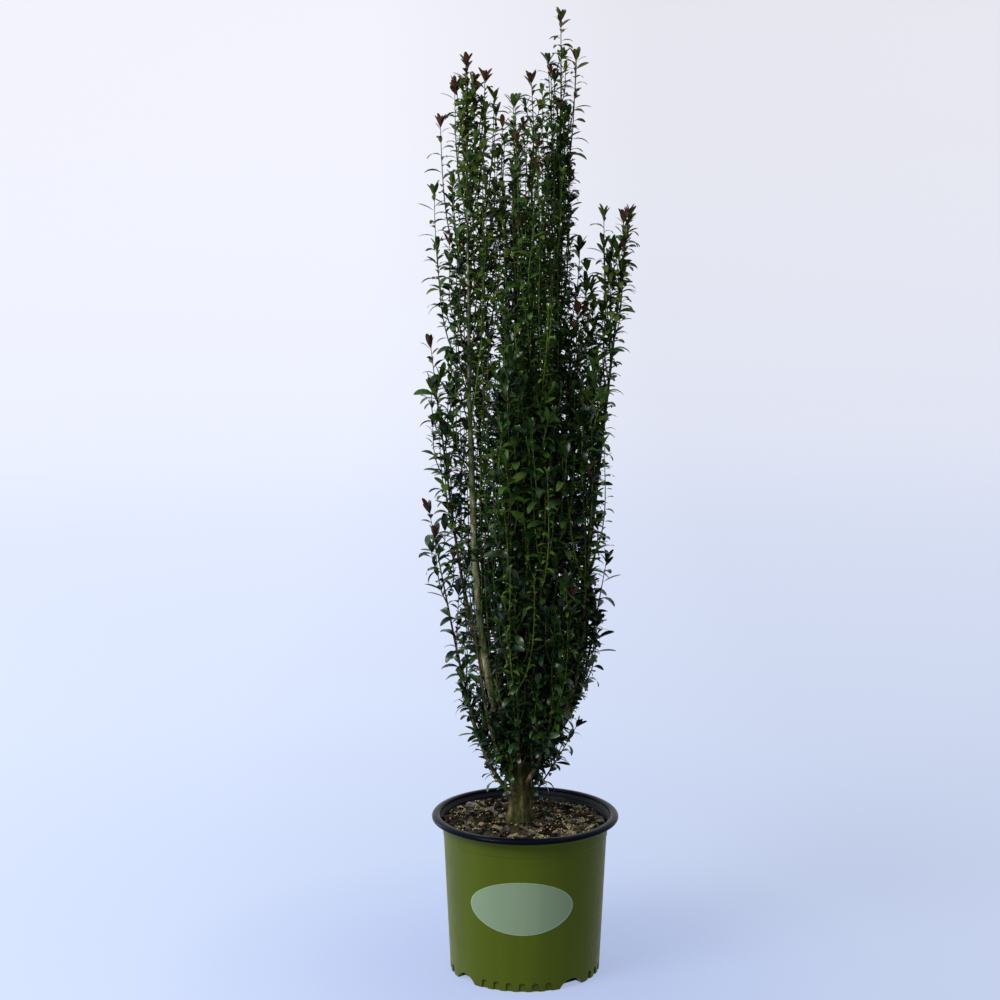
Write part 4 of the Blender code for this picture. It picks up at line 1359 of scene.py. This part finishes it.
def clothe(growth, points, rng, tint, leaf_scale, tip_bronze, start=0.004):
    """Leaves up one shoot in a spiral, closer and more upright towards its tip."""
    plant = plant_settings()
    leaf_scale *= size_at(points[-1].z)
    lengths = path_lengths(points)
    total = lengths[-1]
    turn = rng.uniform(0.0, 360.0)
    at = start
    slender = plant.leaf_width / plant.leaf_length
    while at < total:
        place, tangent = point_along(points, lengths, at)
        left = total - at
        young = math.exp(-left / YOUNG_STRETCH)
        angle = math.radians(rng.uniform(*LEAF_ANGLES) * (1.0 - 0.50 * young))
        length = plant.leaf_length * leaf_scale * rng.uniform(*LEAF_SIZES) * (1.0 - 0.32 * young)
        width = length * slender * rng.uniform(0.85, 1.22)
        which = rng.choice((0, 1)) if young > 0.4 else rng.choice((0, 1, 2, 2, 3, 3))
        shade = tint
        if left < tip_bronze and rng.random() < 0.8:
            shade = "bronze"
        elif tint in LIGHTER and rng.random() < LIGHTER_CHANCE:
            shade = LIGHTER[tint]
        growth.add_leaf(shade, place, tangent, turn, angle, length, width, which, rng.gauss(0.0, 0.28))
        turn += GOLDEN_ANGLE + rng.uniform(-14.0, 14.0)
        at += plant.leaf_pitch * leaf_scale ** 0.7 * rng.uniform(0.70, 1.30) * (1.0 - 0.40 * young)
    top, tangent = points[-1], (points[-1] - points[-2]).normalized()
    for n in range(TIP_LEAVES):
        shade = "bronze" if tip_bronze > 0.0 and rng.random() < 0.85 else tint
        length = plant.leaf_length * leaf_scale * rng.uniform(0.66, 0.96)
        width = length * rng.uniform(0.30, 0.40)
        angle = math.radians(rng.uniform(6.0, 30.0))
        growth.add_leaf(shade, top, tangent, turn + 95.0 * n, angle, length, width, 0, rng.gauss(0.0, 0.2))


def shoot_path(foot, turn, knee, length, lean, rng):
    """A shoot: it leaves its stem at a slant and turns upright."""
    wander = rng.uniform(-0.005, 0.005)
    count = max(5, round(length / 0.016))
    points = []
    for n in range(count + 1):
        rise = length * n / count
        point = swung_out(foot, turn, knee, 0.22 * length + 0.006, lean, rise, 0.0)
        point += heading(turn + 90.0) * wander * math.sin(1.4 * math.pi * rise / length)
        points.append(point)
    return points


def taper(points, foot_radius, tip_radius):
    last = len(points) - 1
    return [foot_radius + (tip_radius - foot_radius) * n / last for n in range(last + 1)]


def shoot_length(limb, height, rng):
    """Length of a side shoot: the limb's tip keeps ahead of all of them."""
    plant = plant_settings()
    left = limb.top - height
    if rng.random() < 0.20 and left > 0.24:
        return min(left - rng.uniform(0.075, 0.190), left * rng.uniform(0.55, 0.85))
    length = plant.shoot_length * rng.uniform(0.55, 1.50)
    return min(length, left * rng.uniform(0.35, 0.68) - 0.010)


def tip_bronze_chance(limb, height):
    """How often a shoot that ends at the height has bronze leaves at its tip."""
    if limb.top - height < 0.16 and limb in LEADERS:
        return 0.44
    if limb.top - height < 0.06 and limb.name in SKY_LIMBS:
        return 0.62
    return 0.07 if height > 1.0 else 0.02


def fullness(limb, height):
    """How closely the shoots follow each other along the limb."""
    full = FULLNESS.get(limb.name, 1.0)
    if limb not in LEADERS:
        return full
    if limb.name == FULLER_LIMB and height > FULLER_FROM:
        full *= FULLER_SHARE
    if limb.top - height < TOP_STRETCH:
        return full * TOP_SHARES.get(limb.name, USUAL_TOP_SHARE)
    return full * FULL_SHARE if FULL_FROM < height < FULL_TO else full


def narrowing(limb, height):
    """How far the shoots reach at the height, as a share of the limb's spread."""
    below_top = limb.top - height
    if limb in LEADERS:
        widening = LEADER_WIDENING.get(limb.name, USUAL_WIDENING)
        return min(1.0, max(NARROWEST, widening * below_top - 0.10))
    return min(1.0, 0.50 + 2.2 * below_top)


def bare_outer_side(limb, height, turn):
    """Whether the shoot would stand on the side of the right outer leader that is bare."""
    outward = heading(turn).x > 0.0
    return limb.name == BARE_OUTER_LIMB and height < BARE_OUTER_TO and outward


def opens_to_sky(limb, points, rng):
    """Whether a shoot is left out: past the crown's outline, or where sky shows at its left."""
    if limb.name == BARE_OUTER_LIMB:
        return False
    outer = limb.name in SKY_LIMBS
    for point in points:
        _, left, right = [limits for limits in SIDE_LIMITS if limits[0] <= point.z][-1]
        if not left < point.x < right and not (outer and point.z > LOW_LIMITS_TO):
            return True
    if outer:
        return False
    thin = any(point.x < SKY_X and SKY_FROM < point.z < SKY_TO for point in points)
    return thin and rng.random() < SKY_SHARE


def side_shoot_path(shoot, rng):
    foot = limb_point(LIMB_OF[shoot.limb], shoot.foot)
    return shoot_path(foot, shoot.turn, shoot.knee, shoot.length, 0.0, rng)


def grow_side_shoot(growth, shoot, rng):
    """One of the side shoots that show against the sky."""
    plant = plant_settings()
    points = side_shoot_path(shoot, rng)
    tint = spray_tint(rng, points[-1].z, 0.9)
    chance = tip_bronze_chance(LIMB_OF[shoot.limb], points[-1].z)
    bronze = 0.016 if rng.random() < chance else 0.0
    clothe(growth, points, rng, tint, 1.05, bronze, SIDE_SHOOT_BARE)
    growth.add_shoot("dull", points, taper(points, plant.twig_radius, plant.tip_radius))


def grow_young_shoot(growth, shoot, rng):
    """One of the young shoots in front of the crown, with small light leaves."""
    plant = plant_settings()
    points = side_shoot_path(shoot, rng)
    clothe(growth, points, rng, "fresh", rng.uniform(*YOUNG_LEAVES), 0.0, SIDE_SHOOT_BARE)
    growth.add_shoot("green", points, taper(points, plant.twig_radius, plant.tip_radius))


def grow_shoots(growth, limb, low, high, pitch, rng, reach_scale=1.0):
    """Side shoots in a spiral up a stretch of a limb."""
    plant = plant_settings()
    turn = rng.uniform(0.0, 360.0)
    height = low
    while height < high:
        foot = limb_point(limb, height)
        length = shoot_length(limb, height, rng)
        turn += GOLDEN_ANGLE
        height += pitch * rng.uniform(0.7, 1.3) / fullness(limb, height)
        if length < 0.016 or bare_outer_side(limb, height, turn):
            continue
        knee = limb.spread * reach_scale * narrowing(limb, height) * rng.uniform(0.25, 0.95)
        knee = min(knee, 0.55 * length)
        points = shoot_path(foot, turn, knee, length, rng.uniform(0.0, 0.03), rng)
        hidden = sum(hides_bare_stem(point) for point in points)
        if hidden > 0.25 * len(points) or opens_to_sky(limb, points, rng):
            continue
        away = (points[-1] - CROWN_MIDDLE).xy.length / CROWN_HALF_WIDTH
        tint = spray_tint(rng, points[-1].z, min(1.0, away))
        chance = tip_bronze_chance(limb, points[-1].z)
        bronze = rng.uniform(0.004, 0.014) if rng.random() < chance else 0.0
        leaf_scale = rng.uniform(*(OUTER_LEAVES if away > OUTER_FROM else INNER_LEAVES))
        kind = "brown" if tint == "deep" and rng.random() < 0.6 else "dull"
        if rng.random() < YOUNG_CHANCE and points[-1].z < YOUNG_TO:
            tint, kind, bronze = "fresh", "green", 0.0
            leaf_scale = rng.uniform(*YOUNG_LEAVES)
        if limb.tip is None:
            leaf_scale *= 0.85
        clothe(growth, points, rng, tint, leaf_scale, bronze, 0.25 * min(knee, 0.03) + 0.003)
        foot_radius = plant.twig_radius * rng.uniform(0.8, 1.2)
        growth.add_shoot(kind, points, taper(points, foot_radius, plant.tip_radius))


def cover_foot(growth, limb, rng):
    """Short leafy shoots along the lowest stretch of a bough."""
    plant = plant_settings()
    turn = rng.uniform(0.0, 360.0)
    height = max(limb.foot + 0.008, COVER_FROM)
    while height < min(limb.tip, COVER_TO):
        length = rng.uniform(0.028, 0.062)
        knee = rng.uniform(0.010, 0.024)
        points = shoot_path(limb_point(limb, height), turn, knee, length, 0.10, rng)
        # Deep and dark tints low on the boughs, partly painted shade
        tint = "dark" if rng.random() < 0.30 else "deep"
        clothe(growth, points, rng, tint, rng.uniform(0.70, 1.05), 0.0, 0.006)
        growth.add_shoot("dull", points, taper(points, 0.8 * plant.twig_radius, plant.tip_radius))
        turn += GOLDEN_ANGLE
        height += COVER_PITCH * rng.uniform(0.7, 1.3)


def grow_mass(growth, number, limb):
    """The stem that carries on from the bough, its side shoots, and the leaves on both."""
    plant = plant_settings()
    rng = random.Random(growth.seed * 1000 + number)
    start = limb.foot if limb.tip is None else limb.tip
    thick = end_radii(limb)[1]
    end = limb.top - 0.014
    heights = steps(start, end, 0.012)
    points = [limb_point(limb, height) for height in heights]
    kind = "pale" if limb.name == BARE_LIMB else "brown"
    growth.add_shoot(kind, points, taper(points, thick, plant.tip_radius))
    tint = spray_tint(rng, limb.top, 0.6)
    bronze = 0.018 if limb in LEADERS or limb.name in SKY_LIMBS else 0.0
    clothe(growth, points, rng, tint, 1.0 if limb.tip else 0.8, bronze)
    shoots_end = limb.top - TOP_CLEAR if limb in LEADERS else end
    grow_shoots(growth, limb, start + 0.004, shoots_end, plant.shoot_pitch, rng)
    if limb.tip is not None:
        low = max(limb.foot + 0.025, SHOOTS_FROM)
        grow_shoots(growth, limb, low, limb.tip, 1.4 * plant.shoot_pitch, rng, 0.8)
        cover_foot(growth, limb, rng)
    if limb in LEADERS:
        leafy = [point for point in points if point.z > limb.top - LEAFY_TOP]
        clothe(growth, leafy, rng, tint, LEAFY_TOP_SCALE, bronze)


def build_twigs(growth):
    """The twigs, one piece for each kind; the brown ones replace the foliage nodes, which are hidden."""
    plant = plant_settings()
    nodes = [f"foliage_{limb.name}" for limb in FOLIAGE]
    finishes = {
        "brown": bark_material("twig_bark", plant.twig_brown, 2.5),
        "dull": bark_material("dull_shoot_bark", plant.twig_dull, 2.5),
        "green": leaf_material("green_shoot_bark", plant.shoot_green, 0.5),
        "pale": bark_material("pale_stem_bark", plant.bark_pale, 2.0),
    }
    for kind, lines in growth.twigs.items():
        mesh = tubes(f"twigs_{kind}", lines, 1)
        add_piece(f"twigs_{kind}", mesh, finishes[kind], nodes if kind == "brown" else ())


def build_leaves(growth):
    """The leaves, joined by tint in pieces of no more than the limit."""
    plant = plant_settings()
    shapes = leaf_shapes()
    limit = PIECE_TRIANGLES // (2 * LEAF_ROWS * LEAF_COLUMNS)
    for tint in TINTS:
        placements = growth.leaves[tint]
        colour = getattr(plant, f"leaf_{tint}")
        roughness, gloss = SHADED_FINISH if tint in SHADED_TINTS else USUAL_FINISH
        material = leaf_material(f"leaf_{tint}", colour, roughness, gloss)
        for part, first in enumerate(range(0, len(placements), limit)):
            name = f"leaves_{tint}_{part + 1}"
            mesh = joined_copies(name, shapes, placements[first:first + limit], smooth=True)
            add_piece(name, mesh, material)


def build_foliage():
    """All the twigs and leaves, joined by kind and tint."""
    seed = plant_settings().seed
    growth = Growth(seed)
    for number, limb in enumerate(FOLIAGE):
        grow_mass(growth, number, limb)
    rng = random.Random(seed * 77)
    for shoot in SIDE_SHOOTS:
        grow_side_shoot(growth, shoot, rng)
    for shoot in YOUNG_SHOOTS:
        grow_young_shoot(growth, shoot, rng)
    build_twigs(growth)
    build_leaves(growth)


# Stage

# The paper's light goes from its left to its right value within this much of the middle
PAPER_HALF_WIDTH = 0.6

# The camera's place, how far it looks down in degrees, and its sensor in millimetres
CAMERA_PLACE = (-0.0377, -3.414, 1.292)
CAMERA_DIP = 9.59
SENSOR_WIDTH = 36.0

# The lights: where they stand, their size and colour, and the point that they face
KEY_PLACE = (-2.3, -1.9, 2.7)
KEY_SIZE = (1.7, 1.7)
KEY_COLOUR = (1.0, 0.98, 0.94)
STRIP_PLACE = (-2.5, 1.9, 0.9)
STRIP_SIZE = (0.7, 2.2)
STRIP_COLOUR = (0.80, 0.90, 1.0)
LIGHT_AIM = (0.0, 0.0, 0.75)

# The way to the bright side of the sky
SKY_BRIGHT_WAY = (-0.45, 0.55, 0.70)


def backdrop_mesh():
    """A floor that sweeps up into a round wall."""
    stage = stage_settings()
    outline = [(0.0, 0.0), (0.5, 0.0), (stage.floor_radius, 0.0)]
    for n in range(1, 17):
        angle = math.pi / 2.0 * n / 16.0
        outline.append((
            stage.floor_radius + stage.sweep_radius * math.sin(angle),
            stage.sweep_radius * (1.0 - math.cos(angle)),
        ))
    outline.append((stage.floor_radius + stage.sweep_radius, stage.sweep_radius + stage.wall_height))
    shape = turned(outline, 96)
    if sum(face.normal.z for face in shape.faces) < 0.0:
        bmesh.ops.reverse_faces(shape, faces=shape.faces)
    return mesh_from(shape, "backdrop", SOFT_ANGLE)


def paper_material():
    """Pale paper with a light of its own, as painted light: lighter to the left, and its tone set by the
    distance, darkest round the pot as painted shade and palest on the wall.
    """
    stage = stage_settings()
    made, nodes, links, shader = new_material("backdrop_paper")
    place = nodes.new("ShaderNodeTexCoord")
    length = nodes.new("ShaderNodeVectorMath")
    length.operation = "LENGTH"
    links.new(place.outputs["Object"], length.inputs[0])
    spread = nodes.new("ShaderNodeMapRange")
    spread.inputs["From Min"].default_value = 0.0
    spread.inputs["From Max"].default_value = stage.floor_radius + stage.sweep_radius
    links.new(length.outputs["Value"], spread.inputs["Value"])
    # Painted light by distance: darkest round the pot as painted shade, palest on the wall
    stops = [
        (0.025, stage.painted_shade_colour), (0.075, stage.floor_colour), (0.21, stage.far_colour),
        (0.56, stage.sweep_colour), (1.0, stage.wall_colour),
    ]
    tone = ramp_node(nodes, links, spread.outputs["Result"], [(at, tuple(tint)) for at, tint in stops])
    sides = nodes.new("ShaderNodeSeparateXYZ")
    links.new(place.outputs["Object"], sides.inputs["Vector"])
    across = nodes.new("ShaderNodeMapRange")
    across.inputs["From Min"].default_value = -PAPER_HALF_WIDTH
    across.inputs["From Max"].default_value = PAPER_HALF_WIDTH
    across.inputs["To Min"].default_value = stage.bright_side
    across.inputs["To Max"].default_value = stage.dark_side
    links.new(sides.outputs["X"], across.inputs["Value"])
    shaded = nodes.new("ShaderNodeVectorMath")
    shaded.operation = "SCALE"
    links.new(tone, shaded.inputs[0])
    links.new(across.outputs["Result"], shaded.inputs["Scale"])
    paper = shaded.outputs["Vector"]
    matte = nodes.new("ShaderNodeVectorMath")
    matte.operation = "SCALE"
    matte.inputs["Scale"].default_value = stage.paper_tone
    links.new(paper, matte.inputs[0])
    links.new(matte.outputs["Vector"], shader.inputs["Base Color"])
    links.new(paper, shader.inputs["Emission Color"])
    shader.inputs["Emission Strength"].default_value = stage.paper_glow
    shader.inputs["Roughness"].default_value = 1.0
    shader.inputs["Specular IOR Level"].default_value = 0.0
    return made


def build_backdrop():
    """The paper backdrop, which doesn't light or mirror in the plant."""
    mesh = backdrop_mesh()
    mesh.materials.append(paper_material())
    backdrop = bpy.data.objects.new("backdrop", mesh)
    bpy.context.scene.collection.objects.link(backdrop)
    for ray in ("diffuse", "glossy", "shadow"):
        setattr(backdrop, f"visible_{ray}", False)


def set_camera():
    """The photo's view."""
    camera = bpy.data.objects.new("camera", bpy.data.cameras.new("camera"))
    camera.data.lens = stage_settings().lens
    camera.data.sensor_width = SENSOR_WIDTH
    camera.data.dof.use_dof = False
    camera.location = CAMERA_PLACE
    camera.rotation_euler = (math.radians(90.0 - CAMERA_DIP), 0.0, 0.0)
    bpy.context.scene.collection.objects.link(camera)
    bpy.context.scene.camera = camera


def build_stage():
    """A pale floor that sweeps up into a round backdrop, soft light and the photo's view."""
    stage = stage_settings()
    build_backdrop()
    build_sky()
    add_light("key_light", KEY_PLACE, KEY_SIZE, stage.key_power, KEY_COLOUR)
    add_light("strip_light", STRIP_PLACE, STRIP_SIZE, stage.strip_power, STRIP_COLOUR)
    set_camera()
    bpy.context.scene.view_settings.view_transform = "Standard"


def build_sky():
    """Even light that is brighter from above, from the left and from behind the plant."""
    stage = stage_settings()
    world = bpy.data.worlds.new("soft_sky")
    world.use_nodes = True
    nodes, links = world.node_tree.nodes, world.node_tree.links
    place = nodes.new("ShaderNodeTexCoord")
    facing = nodes.new("ShaderNodeVectorMath")
    facing.operation = "DOT_PRODUCT"
    facing.inputs[1].default_value = Vector(SKY_BRIGHT_WAY).normalized()
    links.new(place.outputs["Generated"], facing.inputs[0])
    shade = nodes.new("ShaderNodeMapRange")
    shade.interpolation_type = "SMOOTHSTEP"
    shade.inputs["From Min"].default_value = -0.9
    shade.inputs["From Max"].default_value = 1.0
    shade.inputs["To Min"].default_value = stage.sky_low
    shade.inputs["To Max"].default_value = stage.sky_high
    links.new(facing.outputs["Value"], shade.inputs["Value"])
    sky = nodes["Background"]
    sky.inputs["Color"].default_value = (*stage.sky_colour, 1.0)
    links.new(shade.outputs["Result"], sky.inputs["Strength"])
    bpy.context.scene.world = world


def add_light(name, place, size, power, colour):
    """A large soft light that faces the middle of the plant and isn't seen itself."""
    data = bpy.data.lights.new(name, "AREA")
    data.shape = "RECTANGLE"
    data.size, data.size_y = size
    data.energy = power
    data.color = colour
    light = bpy.data.objects.new(name, data)
    light.location = place
    light.rotation_euler = (Vector(LIGHT_AIM) - Vector(place)).to_track_quat("-Z", "Y").to_euler()
    light.visible_camera = False
    bpy.context.scene.collection.objects.link(light)


class HOLLY_OT_pot_wall(bpy.types.Operator):
    """Make the pot's wall with its band, flutes and drain notches"""

    bl_idname = "holly.pot_wall"
    bl_label = "Pot wall"

    def execute(self, context):
        build_pot_wall()
        return {"FINISHED"}


class HOLLY_OT_pot_lining(bpy.types.Operator):
    """Make the dark inside of the pot"""

    bl_idname = "holly.pot_lining"
    bl_label = "Pot lining"

    def execute(self, context):
        build_pot_lining()
        return {"FINISHED"}


class HOLLY_OT_pot_rim(bpy.types.Operator):
    """Make the pot's rolled rim"""

    bl_idname = "holly.pot_rim"
    bl_label = "Pot rim"

    def execute(self, context):
        build_pot_rim()
        return {"FINISHED"}


class HOLLY_OT_oval_panel(bpy.types.Operator):
    """Make the bare oval panel on the pot's front"""

    bl_idname = "holly.oval_panel"
    bl_label = "Oval panel"

    def execute(self, context):
        build_panel()
        return {"FINISHED"}


class HOLLY_OT_potting_mix(bpy.types.Operator):
    """Fill the pot with bark chips, fines and prills"""

    bl_idname = "holly.potting_mix"
    bl_label = "Potting mix"

    def execute(self, context):
        build_potting_mix()
        return {"FINISHED"}


class HOLLY_OT_wood(bpy.types.Operator):
    """Make the trunk and the main boughs with their bark"""

    bl_idname = "holly.wood"
    bl_label = "Trunk and boughs"

    def execute(self, context):
        plant = plant_settings()
        build_trunk(bark_material("trunk_bark", plant.bark_dark, 1.0))
        bark = bark_material("bough_bark", plant.bark_brown, 1.0)
        build_boughs(bark, bark_material("pale_bark", plant.bark_pale, 1.0))
        return {"FINISHED"}


class HOLLY_OT_foliage(bpy.types.Operator):
    """Grow the twigs and leaves on the boughs"""

    bl_idname = "holly.foliage"
    bl_label = "Foliage"

    def execute(self, context):
        build_foliage()
        return {"FINISHED"}


class HOLLY_OT_stage(bpy.types.Operator):
    """Set up the floor, backdrop, lights and camera"""

    bl_idname = "holly.stage"
    bl_label = "Stage"

    def execute(self, context):
        build_stage()
        return {"FINISHED"}


OPERATORS = (
    HOLLY_OT_pot_wall, HOLLY_OT_pot_lining, HOLLY_OT_pot_rim, HOLLY_OT_oval_panel, HOLLY_OT_potting_mix,
    HOLLY_OT_wood, HOLLY_OT_foliage, HOLLY_OT_stage,
)


class HOLLY_PT_panel(bpy.types.Panel):
    """Settings and build steps of the potted holly"""

    bl_label = "Japanese holly"
    bl_idname = "HOLLY_PT_panel"
    bl_space_type = "VIEW_3D"
    bl_region_type = "UI"
    bl_category = "Holly"

    def draw(self, context):
        for operator in OPERATORS:
            self.layout.operator(operator.bl_idname)
        for settings in (pot_settings(), plant_settings(), stage_settings()):
            box = self.layout.box()
            for name in settings.__annotations__:
                box.prop(settings, name)


SETTINGS = (
    ("holly_pot", HollyPotSettings),
    ("holly_plant", HollyPlantSettings),
    ("holly_stage", HollyStageSettings),
)


def register():
    for name, group in SETTINGS:
        bpy.utils.register_class(group)
        setattr(bpy.types.Scene, name, PointerProperty(type=group))
    for operator in OPERATORS:
        bpy.utils.register_class(operator)
    bpy.utils.register_class(HOLLY_PT_panel)


def unregister():
    bpy.utils.unregister_class(HOLLY_PT_panel)
    for operator in reversed(OPERATORS):
        bpy.utils.unregister_class(operator)
    for name, group in reversed(SETTINGS):
        delattr(bpy.types.Scene, name)
        bpy.utils.unregister_class(group)


def main():
    register()
    bpy.ops.holly.pot_wall()
    bpy.ops.holly.pot_lining()
    bpy.ops.holly.pot_rim()
    bpy.ops.holly.oval_panel()
    bpy.ops.holly.potting_mix()
    bpy.ops.holly.wood()
    bpy.ops.holly.foliage()
    bpy.ops.holly.stage()


if __name__ == "__main__":
    main()
